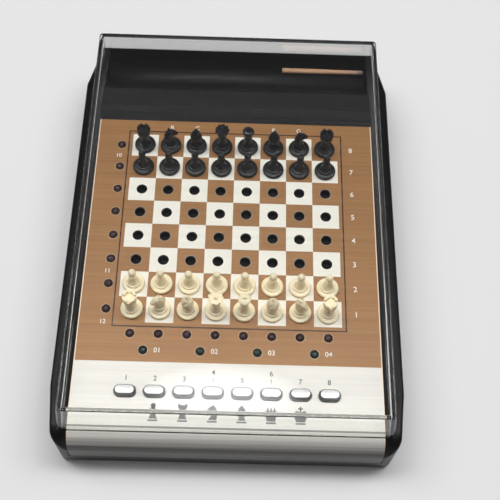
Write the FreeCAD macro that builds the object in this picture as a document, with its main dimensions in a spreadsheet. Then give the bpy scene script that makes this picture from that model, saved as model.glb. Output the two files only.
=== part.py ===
"""A pocket chess computer: pegged pieces on a sensing board, keys, lamps and a clear lift-off cover.

Millimetres. +Z is up, +Y points to the rear, and the origin is on the table below the middle of the board.
"""

import FreeCAD, Part
import Sketcher
import math
import os
import re

V = FreeCAD.Vector
doc = FreeCAD.newDocument("chess_computer")

# Driving dimensions: name, value, what it measures
SIZES = [
    ("square_pitch", 11.0, "side of one chess square"),
    ("side_margin", 15.0, "edge of the squares to the side edge of the fascia"),
    ("deck_height", 26.0, "table to the fascia's top face"),
    ("foot_height", 1.5, "rubber foot"),
    ("foot_diameter", 10.0, "rubber foot, at the case"),
    ("foot_inset", 15.0, "foot's centre in from the side and the ends"),
    ("parting_height", 11.0, "table to the seam between the two case shells"),
    ("cheek_width", 8.0, "fascia's side edge to a cheek's outer face"),
    ("front_reach", 21.0, "keys' centres to the front face"),
    ("tray_reach", 24.4, "lip of the piece tray to the rear face"),
    ("rear_draw", 5.5, "how far a cheek draws in towards the rear face"),
    ("rear_taper", 22.0, "length of the cheeks' rear taper"),
    ("front_draw", 1.6, "how far a cheek draws in towards its front corner"),
    ("front_taper", 23.0, "length of the cheeks' front taper, corner included"),
    ("front_corner", 6.6, "radius of the front corners in plan"),
    ("bullnose_radius", 8.5, "bend of the fascia over the front edge"),
    ("apron_drop", 14.4, "deck to the lower edge of the bent fascia"),
    ("toe_in", 1.1, "how far the front face leans back at the table"),
    ("cheek_round", 1.2, "round along the cheeks' top edges"),
    ("wall", 2.2, "case walls"),
    ("floor_thickness", 2.5, "bottom of the lower case"),
    ("sheet_thickness", 0.8, "aluminium fascia"),
    ("fit", 0.2, "gap round a part that drops into another"),
    ("ledge", 2.0, "shelf that carries the fascia's edges"),
    ("rim_thickness", 4.0, "depth of the moulded rim beside the fascia"),
    ("peg_hole", 4.2, "hole in each square"),
    ("guide_thickness", 3.0, "moulded plate under the fascia that guides the pegs"),
    ("contact_thickness", 0.6, "contact sheet under the pegs"),
    ("board_thickness", 1.6, "circuit board"),
    ("led_diameter", 3.0, "lamps"),
    ("led_hole", 3.3, "lamp holes in the fascia"),
    ("led_rise", 0.9, "how far a lamp's dome stands above the fascia"),
    ("led_offset", 4.6, "edge of the squares to the red lamps' centres"),
    ("lamp_offset", 11.4, "edge of the squares to the green lamps' centres"),
    ("key_offset", 28.0, "edge of the squares to the keys' centres"),
    ("key_length", 8.4, "key cap, across"),
    ("key_width", 4.6, "key cap, front to back"),
    ("key_rise", 2.4, "key cap above the fascia"),
    ("key_bevel", 0.65, "how far the key's top face steps in"),
    ("key_bevel_height", 1.3, "height of that bevel"),
    ("key_travel", 0.8, "how far a key goes down"),
    ("key_flange", 0.9, "how far the hidden flange stands out from the cap"),
    ("flange_thickness", 0.8, "that flange"),
    ("tray_lip", 24.6, "edge of the squares to the lip of the piece tray"),
    ("tray_depth", 12.0, "deck to the tray's floor"),
    ("tray_scoop", 13.0, "how far back the tray's scooped front reaches"),
    ("lip_radius", 2.0, "round on the tray's lip"),
    ("cover_height", 17.4, "deck to the cover's top face"),
    ("cover_wall", 2.0, "clear cover"),
    ("cover_side_inset", 4.4, "cheek's outer face to the cover's rim"),
    ("cover_front_inset", 5.3, "front face to the cover's rim"),
    ("cover_rear_inset", 0.3, "rear face to the cover's rim"),
    ("cover_draft", 2.1, "lean of the cover's side and front walls"),
    ("cover_rear_draft", 7.2, "lean of the cover's rear wall"),
    ("cover_corner", 1.4, "round on the cover's upright edges"),
    ("cover_edge", 0.5, "round along the cover's top edges"),
    ("cover_seat", 0.1, "gap under the cover's rim"),
    ("piece_base", 8.8, "diameter of every piece's base"),
    ("piece_seat", 0.2, "gap between a base and the fascia"),
    ("peg_diameter", 3.2, "peg under a piece"),
    ("peg_tip_gap", 0.15, "gap between a peg's tip and the contact sheet"),
    ("pawn_height", 11.2, "pawn above its base's underside"),
    ("rook_height", 12.2, "rook"),
    ("knight_height", 12.6, "knight"),
    ("bishop_height", 13.0, "bishop"),
    ("queen_height", 13.2, "queen"),
    ("king_height", 14.0, "king, with its finial"),
    ("cell_diameter", 14.5, "battery cell"),
    ("cell_length", 50.5, "battery cell, with its button"),
    ("cell_gap", 0.3, "gap round a cell"),
    ("contact_strip", 0.6, "spring strips at the cells' ends"),
    ("bay_front", 8.0, "middle of the board to the front of the battery bay"),
    ("bay_wall", 1.5, "walls of the battery bay"),
    ("door_tongue", 1.5, "reach of the door's sliding tongues"),
    ("door_thickness", 2.1, "battery door"),
    ("slide_gap", 0.25, "gap round the door, the knob and the other sliding pieces"),
    ("socket_bore", 3.6, "power socket's bore"),
    ("socket_depth", 12.0, "length of that bore, to the rear face"),
    ("socket_nose", 6.5, "power socket's round nose in the rear wall"),
    ("socket_width", 8.6, "power socket's body, across"),
    ("socket_inset", 13.5, "corner of the rear face to the power socket"),
    ("switch_throw", 4.0, "travel of the power switch"),
    ("switch_inset", 15.5, "corner of the rear face to the power switch"),
    ("screw_diameter", 2.6, "case screws"),
    ("screw_head", 5.2, "case screws' heads"),
    ("board_screw", 2.0, "circuit board's screws"),
    ("board_screw_head", 4.2, "circuit board's screws, heads"),
    ("boss_diameter", 6.4, "screw bosses"),
    ("boss_inset", 31.0, "front and rear faces to the outer screws"),
    ("buzzer_diameter", 22.0, "buzzer disc"),
    ("package_height", 3.6, "chip packages"),
    ("package_standoff", 0.5, "gap between a chip's package and the board"),
    ("wide_package", 13.6, "processor and memory, across their pins"),
    ("slim_package", 6.4, "lamp drivers, across their pins"),
    ("pin_pitch", 2.54, "chip pins, centre to centre"),
    ("pin_width", 0.5, "a chip's pin, along its row"),
    ("pin_thickness", 0.3, "a chip's pin, across its row"),
    ("stick_length", 37.5, "wooden stick in the tray"),
    ("stick_diameter", 2.6, "that stick, at its thick end"),
    ("stick_tip", 2.1, "that stick, at its thin end"),
]

# Heights and places worked out from the driving dimensions
PLACES = [
    ("board_half", "4 * square_pitch"),
    ("fascia_half", "board_half + side_margin"),
    ("case_half_width", "fascia_half + cheek_width"),
    ("front_half_width", "case_half_width - front_draw"),
    ("rear_half_width", "case_half_width - rear_draw"),
    ("led_row", "board_half + led_offset"),
    ("lamp_row", "board_half + lamp_offset"),
    ("key_row", "board_half + key_offset"),
    ("lip_place", "board_half + tray_lip"),
    ("front_face", "key_row + front_reach"),
    ("rear_face", "lip_place + tray_reach"),
    ("sheet_under", "deck_height - sheet_thickness"),
    ("guide_under", "sheet_under - guide_thickness"),
    ("contact_under", "guide_under - contact_thickness"),
    ("board_under", "contact_under - board_thickness"),
    ("nose_start", "bullnose_radius - front_face"),
    ("apron_foot", "deck_height - apron_drop"),
    ("window_half", "fascia_half - ledge"),
    ("window_front", "nose_start + ledge"),
    ("window_rear", "lip_place - ledge"),
    ("tray_floor", "deck_height - tray_depth"),
    ("tray_rear", "rear_face - wall"),
    ("tray_half", "fascia_half - ledge / 4"),
    ("roof_height", "deck_height - rim_thickness"),
    ("floor_top", "foot_height + floor_thickness"),
    ("board_screw_place", "(led_row + window_half) / 2"),
    ("nose_centre", "deck_height - bullnose_radius"),
    ("inner_bend", "bullnose_radius - sheet_thickness"),
    ("key_flange_top", "sheet_under - slide_gap / 2"),
    ("key_stem_foot", "guide_under + key_travel + slide_gap / 2"),
    ("piece_foot", "deck_height + piece_seat"),
    ("peg_length", "piece_foot - guide_under - peg_tip_gap"),
    ("boss_place", "(fascia_half + case_half_width - wall) / 2"),
    ("cell_pitch", "cell_diameter + cell_gap"),
    ("bay_half", "2 * cell_pitch + cell_gap"),
    ("bay_rear", "bay_front + cell_length + 2 * contact_strip"),
    ("door_half", "bay_half + bay_wall / 2"),
    ("door_top", "foot_height + door_thickness"),
    ("tongue_foot", "foot_height + door_thickness / 3"),
    ("tongue_top", "foot_height + 2 * door_thickness / 3"),
    ("cell_height", "floor_top + cell_gap + cell_diameter / 2"),
    ("bay_top", "cell_height + cell_diameter / 2 + cell_gap"),
    ("socket_height", "(floor_top + parting_height) / 2"),
    ("foot_across", "case_half_width - foot_inset"),
    ("foot_front", "foot_inset - front_face"),
    ("foot_rear", "rear_face - foot_inset"),
    ("boss_front", "boss_inset - front_face"),
    ("boss_rear", "rear_face - boss_inset"),
    ("socket_offset", "rear_half_width - socket_inset"),
    ("switch_offset", "rear_half_width - switch_inset"),
    ("cover_rim", "deck_height + cover_seat"),
    ("cover_top", "deck_height + cover_height"),
    ("cover_half", "case_half_width - cover_side_inset"),
    ("cover_front", "front_face - cover_front_inset"),
    ("cover_rear", "rear_face - cover_rear_inset"),
]


def fill_sheet(name, rows):
    sheet = doc.addObject("Spreadsheet::Sheet", name)
    for row, (alias, value, note) in enumerate(rows, 1):
        sheet.set(f"A{row}", alias)
        sheet.set(f"B{row}", value)
        sheet.setAlias(f"B{row}", alias)
        sheet.set(f"C{row}", note)
    return sheet


WORDS = {name: "Sizes" for name, value, note in SIZES}
WORDS.update({name: "Places" for name, formula in PLACES})


def full(text):
    """The same expression with each named size led by its sheet's name."""
    return re.sub(r"[a-z]\w*", lambda m: f"{WORDS[m[0]]}.{m[0]}" if m[0] in WORDS else m[0], str(text))


sizes = fill_sheet("Sizes", [(name, str(value), note) for name, value, note in SIZES])
places = fill_sheet("Places", [(name, "=" + full(formula), "worked out") for name, formula in PLACES])
doc.recompute()


def number(text):
    return float(sizes.evalExpression(full(text)))


def bind(item, **expressions):
    for name, text in expressions.items():
        item.setExpression(name, full(text))
    return item


def move(item, x=0, y=0, z=0):
    for axis, text in zip("xyz", (x, y, z)):
        item.setExpression(f"Placement.Base.{axis}", full(text))
    return item


def turn_to(item, axis, angle):
    item.Placement = FreeCAD.Placement(V(0, 0, 0), FreeCAD.Rotation(axis, angle))
    return item


def box(name, low, high):
    """A box between two corners, each a triple of expressions."""
    item = doc.addObject("Part::Box", name)
    spans = [f"({b}) - ({a})" for a, b in zip(low, high)]
    bind(item, Length=spans[0], Width=spans[1], Height=spans[2])
    return move(item, *low)


def rod(name, diameter, length, x=0, y=0, z=0, along="Z"):
    """A cylinder that starts at a point and runs along an axis."""
    item = doc.addObject("Part::Cylinder", name)
    bind(item, Radius=f"({diameter}) / 2", Height=length)
    if along == "Y":
        turn_to(item, V(1, 0, 0), -90)
    if along == "X":
        turn_to(item, V(0, 1, 0), 90)
    return move(item, x, y, z)


def taper(name, foot, top, height, x=0, y=0, z=0):
    item = doc.addObject("Part::Cone", name)
    bind(item, Radius1=f"({foot}) / 2", Radius2=f"({top}) / 2", Height=height)
    return move(item, x, y, z)


def group(name, members):
    item = doc.addObject("Part::Compound", name)
    item.Links = members
    return item


def fuse(name, members):
    item = doc.addObject("Part::MultiFuse", name)
    item.Shapes = members
    return item


def common(name, first, second):
    item = doc.addObject("Part::Common", name)
    item.Base = first
    item.Tool = second
    return item


def cut(name, first, tools):
    item = doc.addObject("Part::Cut", name)
    item.Base = first
    item.Tool = tools[0] if len(tools) == 1 else group(name + "_tools", tools)
    return item


def add_outline(sketch, corners):
    """Closes a chain of edges. A corner is (x, y), and a third entry is the radius of an arc to the next
    corner, positive where its centre lies on the left of the way there."""
    points = [V(number(c[0]), number(c[1]), 0) for c in corners]
    ends = []
    for i, corner in enumerate(corners):
        here, there = points[i], points[(i + 1) % len(points)]
        if len(corner) == 2:
            geo = sketch.addGeometry(Part.LineSegment(here, there))
            ends.append((geo, 1, 2))
            continue
        radius = number(corner[2])
        chord = there - here
        rise = math.sqrt(max(radius**2 - chord.Length**2 / 4, 0))
        left = V(-chord.y, chord.x, 0).normalize()
        centre = (here + there) * 0.5 + left * math.copysign(rise, radius)
        first, last = (here, there) if radius > 0 else (there, here)
        angles = [math.atan2(p.y - centre.y, p.x - centre.x) for p in (first, last)]
        arc = Part.ArcOfCircle(Part.Circle(centre, V(0, 0, 1), abs(radius)), *angles)
        geo = sketch.addGeometry(arc)
        ends.append((geo, 1, 2) if radius > 0 else (geo, 2, 1))
        if rise < 1e-6:
            sketch.addConstraint(Sketcher.Constraint("Symmetric", geo, 1, geo, 2, geo, 3))
        else:
            index = sketch.addConstraint(Sketcher.Constraint("Radius", geo, abs(radius)))
            sketch.setExpression(f"Constraints[{index}]", full(f"abs({corner[2]})"))
    for i, corner in enumerate(corners):
        geo, start, end = ends[i]
        after, after_start, _ = ends[(i + 1) % len(ends)]
        sketch.addConstraint(Sketcher.Constraint("Coincident", geo, end, after, after_start))
        for axis, text in zip(("DistanceX", "DistanceY"), corner):
            index = sketch.addConstraint(Sketcher.Constraint(axis, -1, 1, geo, start, number(text)))
            sketch.setExpression(f"Constraints[{index}]", full(text))


def draw(body, plane, corners, offset=0):
    """A sketch on one of the body's own planes, moved along that plane's normal."""
    sketch = body.newObject("Sketcher::SketchObject", body.Name + "_outline")
    support = next(f for f in body.Origin.OriginFeatures if f.Role == plane)
    sketch.AttachmentSupport = [(support, "")]
    sketch.MapMode = "FlatFace"
    sketch.setExpression("AttachmentOffset.Base.z", full(offset))
    add_outline(sketch, corners)
    return sketch


def slab(name, corners, foot, top):
    """A plan outline carried up from one height to another."""
    body = doc.addObject("PartDesign::Body", name)
    pad = body.newObject("PartDesign::Pad", name + "_pad")
    pad.Profile = draw(body, "XY_Plane", corners, foot)
    bind(pad, Length=f"({top}) - ({foot})")
    return body


def beam(name, corners, half_width):
    """A side outline in Y and Z carried across the object, half to each side."""
    body = doc.addObject("PartDesign::Body", name)
    pad = body.newObject("PartDesign::Pad", name + "_pad")
    pad.Profile = draw(body, "YZ_Plane", corners, f"-({half_width})")
    bind(pad, Length=f"2 * ({half_width})")
    return body


def lathe(name, corners):
    """An outline of radius and height turned about the upright axis."""
    body = doc.addObject("PartDesign::Body", name)
    turned = body.newObject("PartDesign::Revolution", name + "_turned")
    turned.Profile = draw(body, "XZ_Plane", corners)
    turned.ReferenceAxis = (turned.Profile[0], ["V_Axis"])
    turned.Angle = 360
    return body


def mirrored_plan(half):
    """A plan outline, its right side given from front to rear, closed with its mirror image."""
    left = []
    for i in range(len(half) - 1, -1, -1):
        corner = (f"-({half[i][0]})", half[i][1])
        before = half[i - 1] if i else ()
        left.append(corner + before[2:] if i else corner)
    return half + left


# Places on the fascia, as pairs of expressions
FILE_CENTRES = [i - 3.5 for i in range(8)]
PEG_SPOTS = [(f"{f} * square_pitch", f"{r} * square_pitch") for f in FILE_CENTRES for r in FILE_CENTRES]
RED_SPOTS = [("-led_row", f"{r} * square_pitch") for r in FILE_CENTRES]
RED_SPOTS += [(f"{f} * square_pitch", "-led_row") for f in FILE_CENTRES]
GREEN_SPOTS = [(f"{f} * square_pitch", "-lamp_row") for f in (-3, -1, 1, 3)]
KEY_SPOTS = [(f"{f} * square_pitch", "-key_row") for f in FILE_CENTRES]
SIDES = (-1, 1)
BOARD_SCREWS = [(f"{i} * board_screw_place", f"{k} * 3 * square_pitch") for i in SIDES for k in SIDES]
CASE_SCREWS = [(f"{i} * boss_place", y) for i in SIDES for y in ("boss_front", "0", "boss_rear")]


def rods_at(name, spots, diameter, foot, top):
    height = f"({top}) - ({foot})"
    return [rod(f"{name}_{i}", diameter, height, x, y, foot) for i, (x, y) in enumerate(spots)]


def pill(length, width):
    """A slot outline: two straight sides and two half rounds."""
    run, half = f"(({length}) - ({width})) / 2", f"({width}) / 2"
    return [(f"-({run})", f"-({half})"), (run, f"-({half})", half), (run, half), (f"-({run})", half, half)]


# Case shells: one plan outline, cut at the seam
PLAN = mirrored_plan([
    ("front_half_width - front_corner", "-front_face", "front_corner"),
    ("front_half_width", "front_corner - front_face"),
    ("case_half_width", "front_taper - front_face"),
    ("case_half_width", "rear_face - rear_taper"),
    ("rear_half_width", "rear_face"),
])
INSIDE = mirrored_plan([
    ("front_half_width - front_corner", "wall + sheet_thickness - front_face"),
    ("front_half_width - wall", "front_corner - front_face"),
    ("case_half_width - wall", "front_taper - front_face"),
    ("case_half_width - wall", "rear_face - rear_taper"),
    ("rear_half_width - wall", "rear_face - wall"),
])


def make_upper_case():
    block = slab("upper_block", PLAN, "parting_height", "deck_height")
    side = beam("upper_side", [
        ("-front_face", "parting_height"),
        ("rear_face", "parting_height"),
        ("rear_face", "deck_height"),
        ("nose_start", "deck_height", "bullnose_radius"),
        ("-front_face", "nose_centre"),
    ], "case_half_width")
    form = common("upper_form", block, side)
    doc.recompute()
    rounded = doc.addObject("Part::Fillet", "upper_rounded")
    rounded.Base = form
    radius = number("cheek_round")
    deck = number("deck_height")
    flat = [i for i, edge in enumerate(form.Shape.Edges, 1)
            if all(abs(p.Z - deck) < 1e-6 for p in edge.Vertexes) and abs(edge.CenterOfMass.x) > 1]
    rounded.Edges = [(i, radius, radius) for i in flat]
    hollow = slab("upper_hollow", INSIDE, "foot_height", "roof_height")
    front_of_tray = box("front_of_tray", ("-case_half_width", "-front_face", "foot_height"),
                        ("case_half_width", "window_rear", "roof_height"))
    seat = beam("fascia_seat", [
        ("-front_face - wall", "deck_height + wall"),
        ("-front_face - wall", "apron_foot"),
        ("sheet_thickness - front_face", "apron_foot"),
        ("sheet_thickness - front_face", "nose_centre", "-inner_bend"),
        ("nose_start", "sheet_under"),
        ("lip_place", "sheet_under"),
        ("lip_place", "deck_height + wall"),
    ], "fascia_half + fit / 2")
    window = box("deck_window", ("-window_half", "window_front", "foot_height"),
                 ("window_half", "window_rear", "deck_height"))
    tray = beam("tray_space", [
        ("lip_place", "deck_height", "-lip_radius"),
        ("lip_place + lip_radius", "deck_height - lip_radius"),
        ("lip_place + tray_scoop", "tray_floor"),
        ("tray_rear", "tray_floor"),
        ("tray_rear", "deck_height + wall"),
        ("lip_place", "deck_height + wall"),
    ], "tray_half")
    shell = cut("upper_shell", rounded, [common("upper_inside", hollow, front_of_tray), seat, window, tray])
    bosses = rods_at("upper_boss", CASE_SCREWS, "boss_diameter", "parting_height", "roof_height + fit")
    pilots = rods_at("upper_pilot", CASE_SCREWS, "screw_diameter + fit / 2", "foot_height",
                     "roof_height - wall")
    return cut("upper_case", fuse("upper_bossed", [shell] + bosses), pilots)


def make_lower_case():
    block = slab("lower_block", PLAN, "foot_height", "parting_height")
    side = beam("lower_side", [
        ("toe_in - front_face", "foot_height"),
        ("rear_face", "foot_height"),
        ("rear_face", "parting_height"),
        ("-front_face", "parting_height"),
    ], "case_half_width")
    form = common("lower_form", block, side)
    hollow = slab("lower_hollow", INSIDE, "floor_top", "deck_height")
    shell = cut("lower_shell", form, [hollow])
    bay = box("bay_block", ("-bay_half - bay_wall", "bay_front - bay_wall", "foot_height"),
              ("bay_half + bay_wall", "bay_rear + bay_wall", "bay_top + bay_wall / 2"))
    bosses = rods_at("lower_boss", CASE_SCREWS, "boss_diameter", "foot_height", "parting_height")
    solid = fuse("lower_solid", [shell, bay] + bosses)
    tools = [
        box("bay_space", ("-bay_half", "bay_front", "0"), ("bay_half", "bay_rear", "bay_top")),
        box("door_way", ("-door_half", "bay_front", "0"), ("door_half", "rear_face + wall", "floor_top")),
        box("door_groove", ("-door_half - door_tongue", "bay_front", "tongue_foot - slide_gap"),
            ("door_half + door_tongue", "rear_face + wall", "tongue_top + slide_gap")),
        rod("socket_hole", "socket_nose + fit", "2 * wall", "socket_offset", "rear_face - wall - fit",
            "socket_height", along="Y"),
        box("switch_slot",
            ("-switch_offset - switch_throw - slide_gap", "rear_face - wall - fit",
             "socket_height - wall / 2 - slide_gap"),
            ("switch_throw + slide_gap - switch_offset", "rear_face + wall",
             "socket_height + wall / 2 + slide_gap")),
    ]
    tools += rods_at("lower_way", CASE_SCREWS, "screw_diameter + 2 * fit", "0", "deck_height")
    tools += rods_at("head_way", CASE_SCREWS, "screw_head + 2 * fit", "0", "floor_top + wall")
    for i in range(5):
        across = f"({i} - 2) * 2 * wall + 3 * square_pitch"
        tools.append(box(f"sound_slot_{i}", (f"{across} - wall / 3", "-5 * square_pitch", "0"),
                         (f"{across} + wall / 3", "-4 * square_pitch", "floor_top")))
    return cut("lower_case", solid, tools)


def make_fascia():
    sheet = beam("fascia_sheet", [
        ("lip_place - fit / 2", "deck_height"),
        ("nose_start", "deck_height", "bullnose_radius"),
        ("-front_face", "nose_centre"),
        ("-front_face", "apron_foot + fit / 2"),
        ("sheet_thickness - front_face", "apron_foot + fit / 2"),
        ("sheet_thickness - front_face", "nose_centre", "-inner_bend"),
        ("nose_start", "sheet_under"),
        ("lip_place - fit / 2", "sheet_under"),
    ], "fascia_half")
    tools = rods_at("peg_way", PEG_SPOTS, "peg_hole", "guide_under", "piece_foot")
    tools += rods_at("led_way", RED_SPOTS + GREEN_SPOTS, "led_hole", "guide_under", "piece_foot")
    for i, (x, y) in enumerate(KEY_SPOTS):
        way = slab(f"key_way_{i}", pill("key_length + 2 * slide_gap", "key_width + 2 * slide_gap"),
                   "guide_under", "piece_foot")
        tools.append(move(way, x, y))
    return cut("fascia_plate", sheet, tools)


def make_peg_guide():
    plate = box("guide_plate", ("fit - window_half", "window_front + fit", "guide_under"),
                ("window_half - fit", "window_rear - fit", "sheet_under"))
    tools = rods_at("peg_bore", PEG_SPOTS, "peg_hole", "board_under", "piece_foot")
    tools += rods_at("led_bore", RED_SPOTS + GREEN_SPOTS, "led_diameter + fit", "board_under", "piece_foot")
    tools += rods_at("board_pilot", BOARD_SCREWS, "board_screw + fit", "board_under", "sheet_under - fit")
    reach = "key_flange + slide_gap"
    for i, (x, y) in enumerate(KEY_SPOTS):
        way = slab(f"flange_way_{i}", pill(f"key_length + 2 * ({reach})", f"key_width + 2 * ({reach})"),
                   "board_under", "piece_foot")
        tools.append(move(way, x, y))
    return cut("peg_guide", plate, tools)


def make_contact_sheet():
    sheet = box("contact_blank", ("2 * fit - window_half", "window_front + 2 * fit", "contact_under"),
                ("window_half - 2 * fit", "window_rear - 2 * fit", "guide_under"))
    lamps = RED_SPOTS + GREEN_SPOTS
    tools = rods_at("led_pass", lamps, "led_diameter + 2 * fit", "board_under", "deck_height")
    tools += rods_at("screw_pass", BOARD_SCREWS, "board_screw + 2 * fit", "board_under", "deck_height")
    return cut("contact_sheet", sheet, tools)


def make_main_board():
    board = box("board_blank", ("2 * fit - window_half", "window_front + 2 * fit", "board_under"),
                ("window_half - 2 * fit", "window_rear - 2 * fit", "contact_under"))
    ways = rods_at("board_pass", BOARD_SCREWS, "board_screw + 2 * fit", "floor_top", "deck_height")
    return cut("main_board", board, ways)


def make_chips():
    """The processor, a memory and two lamp drivers under the board, with pins along both sides of each."""
    layout = [
        ("processor", -2, -2.2, 20, "wide_package"),
        ("memory", -3, -4.2, 12, "wide_package"),
        ("driver_a", 1, -4.2, 8, "slim_package"),
        ("driver_b", 3.4, -2.2, 8, "slim_package"),
    ]
    top = "board_under - package_standoff"
    members = []
    for name, column, row, pins, width in layout:
        x, y = f"{column} * square_pitch", f"{row} * square_pitch"
        half = f"{pins} * pin_pitch / 2"
        members.append(box(name, (f"{x} - {half}", f"{y} - {width} / 2", f"{top} - package_height"),
                           (f"{x} + {half}", f"{y} + {width} / 2", top)))
        for i in range(pins):
            for side in SIDES:
                pin_x = f"{x} + ({i} - ({pins} - 1) / 2) * pin_pitch"
                pin_y = f"{y} + {side} * ({width} + pin_thickness) / 2"
                foot = f"{top} - package_height / 2"
                low = f"{pin_x} - pin_width / 2", f"{pin_y} - pin_thickness / 2", foot
                high = f"{pin_x} + pin_width / 2", f"{pin_y} + pin_thickness / 2", "board_under"
                members.append(box(f"{name}_pin_{i}_{side + 1}", low, high))
    return fuse("circuit_chips", members)


def make_leds(name, spots):
    """Round lamps on the board, each a short cylinder under a half ball."""
    form = lathe(name + "_form", [
        ("0", "contact_under"),
        ("led_diameter / 2", "contact_under"),
        ("led_diameter / 2", "deck_height + led_rise - led_diameter / 2", "led_diameter / 2"),
        ("0", "deck_height + led_rise"),
    ])
    lamps = []
    for i, (x, y) in enumerate(spots):
        lamps.append(move(group(f"{name}_{i}", [form]), x, y))
    return group(name, lamps)


def make_keys():
    """A pill-shaped cap with a bevelled top, a hidden flange and a stem over its contact."""
    straight = "deck_height + key_rise - key_bevel_height"
    cap = slab("key_cap", pill("key_length", "key_width"), "key_flange_top - flange_thickness", straight)
    crown = doc.addObject("PartDesign::Body", "key_crown")
    loft = crown.newObject("PartDesign::AdditiveLoft", "key_crown_loft")
    loft.Profile = draw(crown, "XY_Plane", pill("key_length", "key_width"), straight)
    top = pill("key_length - 2 * key_bevel", "key_width - 2 * key_bevel")
    loft.Sections = [draw(crown, "XY_Plane", top, "deck_height + key_rise")]
    loft.Ruled = True
    flange = slab("key_flange_plate", pill("key_length + 2 * key_flange", "key_width + 2 * key_flange"),
                  "key_flange_top - flange_thickness", "key_flange_top")
    stem = rod("key_stem", "key_width - 2 * key_bevel", "key_flange_top - key_stem_foot", z="key_stem_foot")
    form = fuse("key_form", [cap, crown, flange, stem])
    return [move(group(f"key_{i + 1}", [form]), x, y) for i, (x, y) in enumerate(KEY_SPOTS)]


def make_battery_parts():
    cells, strips = [], []
    button = "cell_diameter / 2.6"
    for i in range(4):
        x = f"({i} - 1.5) * cell_pitch"
        start, end = "bay_front + contact_strip", "bay_rear - contact_strip"
        barrel = rod(f"cell_barrel_{i}", "cell_diameter", f"({end}) - ({start}) - contact_strip", x, start,
                     "cell_height", along="Y")
        nub = rod(f"cell_button_{i}", button, "2 * contact_strip", x, f"{end} - 2 * contact_strip",
                  "cell_height", along="Y")
        cells.append(fuse(f"cell_{i}", [barrel, nub]))
        if i % 2:
            move(turn_to(cells[-1], V(0, 0, 1), 180), f"2 * ({x})", "bay_front + bay_rear")
    half = "cell_diameter / 3"
    links = {"bay_front": ((0, 1), (2, 3)), "bay_rear - contact_strip": ((0, 0), (1, 2), (3, 3))}
    for y, pairs in links.items():
        for first, last in pairs:
            low = f"({first} - 1.5) * cell_pitch - {half}", y, f"cell_height - {half}"
            high = f"({last} - 1.5) * cell_pitch + {half}", f"{y} + contact_strip", f"cell_height + {half}"
            strips.append(box(f"strip_{len(strips)}", low, high))
    blank = fuse("door_blank", [
        box("door_plate", ("slide_gap - door_half", "bay_front + slide_gap", "foot_height"),
            ("door_half - slide_gap", "rear_face - slide_gap", "door_top")),
        box("door_tongues", ("slide_gap - door_half - door_tongue", "bay_front + slide_gap", "tongue_foot"),
            ("door_half + door_tongue - slide_gap", "rear_face - slide_gap", "tongue_top")),
    ])
    grips = [box(f"door_grip_{i}", ("-square_pitch", f"rear_face - square_pitch + {i} * wall", "0"),
                 ("square_pitch", f"rear_face - square_pitch + {i} * wall + wall / 2", "foot_height + fit"))
             for i in range(4)]
    return [group("batteries", cells), group("battery_contacts", strips), cut("battery_door", blank, grips)]


def make_rear_fittings():
    """The power socket, and the power switch with its sliding knob, behind the rear wall."""
    inner, roof = "rear_face - wall", "parting_height - 2 * fit"
    body = box("socket_body", ("socket_offset - socket_width / 2", "rear_face - socket_depth", "floor_top"),
               ("socket_offset + socket_width / 2", inner, roof))
    nose = rod("socket_nose_form", "socket_nose", "wall - fit", "socket_offset", inner, "socket_height",
               along="Y")
    bore = rod("socket_way", "socket_bore", "2 * socket_depth", "socket_offset",
               "rear_face - socket_depth - wall", "socket_height", along="Y")
    socket = cut("power_socket", fuse("socket_solid", [body, nose]), [bore])
    switch = box("power_switch", ("-switch_offset - 2 * switch_throw", f"{inner} - 2.5 * wall", "floor_top"),
                 ("2 * switch_throw - switch_offset", inner, roof))
    left = "-switch_offset - switch_throw"
    knob = box("knob_block", (left, f"{inner} + slide_gap", "socket_height - wall / 2"),
               ("-switch_offset", "rear_face - fit", "socket_height + wall / 2"))
    grips = []
    for i in (1, 2, 3):
        x = f"{left} + {i} * switch_throw / 4"
        grips.append(box(f"knob_grip_{i}", (f"{x} - fit / 2", "rear_face - 3 * fit", "0"),
                         (f"{x} + fit / 2", "rear_face + wall", "deck_height")))
    return [socket, switch, cut("power_knob", knob, grips)]


def make_screws():
    members = []
    for i, (x, y) in enumerate(CASE_SCREWS):
        head = rod(f"screw_head_{i}", "screw_head", "wall", x, y, "floor_top")
        shank = rod(f"screw_shank_{i}", "screw_diameter", "roof_height - 2 * wall - floor_top", x, y,
                    "floor_top")
        slot = box(f"screw_slot_{i}", (f"{x} - fit", f"{y} - screw_diameter", "floor_top - fit"),
                   (f"{x} + fit", f"{y} + screw_diameter", "floor_top + 3 * fit"))
        members.append(cut(f"case_screw_{i}", fuse(f"case_screw_form_{i}", [head, shank]), [slot]))
    for i, (x, y) in enumerate(BOARD_SCREWS):
        head = rod(f"board_head_{i}", "board_screw_head", "wall / 2", x, y, "board_under - wall / 2")
        shank = rod(f"board_shank_{i}", "board_screw", "sheet_under - board_under - wall / 2", x, y,
                    "board_under")
        members.append(fuse(f"board_screw_{i}", [head, shank]))
    return group("screws", members)


def make_feet():
    spots = [(f"{i} * foot_across", y) for i in SIDES for y in ("foot_front", "foot_rear")]
    sole = "foot_diameter - foot_height"
    return group("rubber_feet", [taper(f"foot_{i}", sole, "foot_diameter", "foot_height", x, y)
                                 for i, (x, y) in enumerate(spots)])


def cover_wedge(name, inset, foot, top):
    """A block with four leaning sides, set in from the cover's outer faces."""
    item = doc.addObject("Part::Wedge", name)
    bind(item, Ymin=0, Ymax=f"({top}) - ({foot})")
    for ends, height in (("{}", foot), ("{}2", top)):
        share = f"(({height}) - cover_rim) / (cover_top - cover_rim)"
        across = f"(cover_half - {inset} - cover_draft * {share})"
        front = f"cover_front - {inset} - cover_draft * {share}"
        rear = f"cover_rear - {inset} - cover_rear_draft * {share}"
        x, z = ends.format("X"), ends.format("Z")
        bind(item, **{x + "min": f"-{across}", x + "max": across, z + "min": f"-({rear})", z + "max": front})
    return move(turn_to(item, V(1, 0, 0), 90), z=foot)


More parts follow.
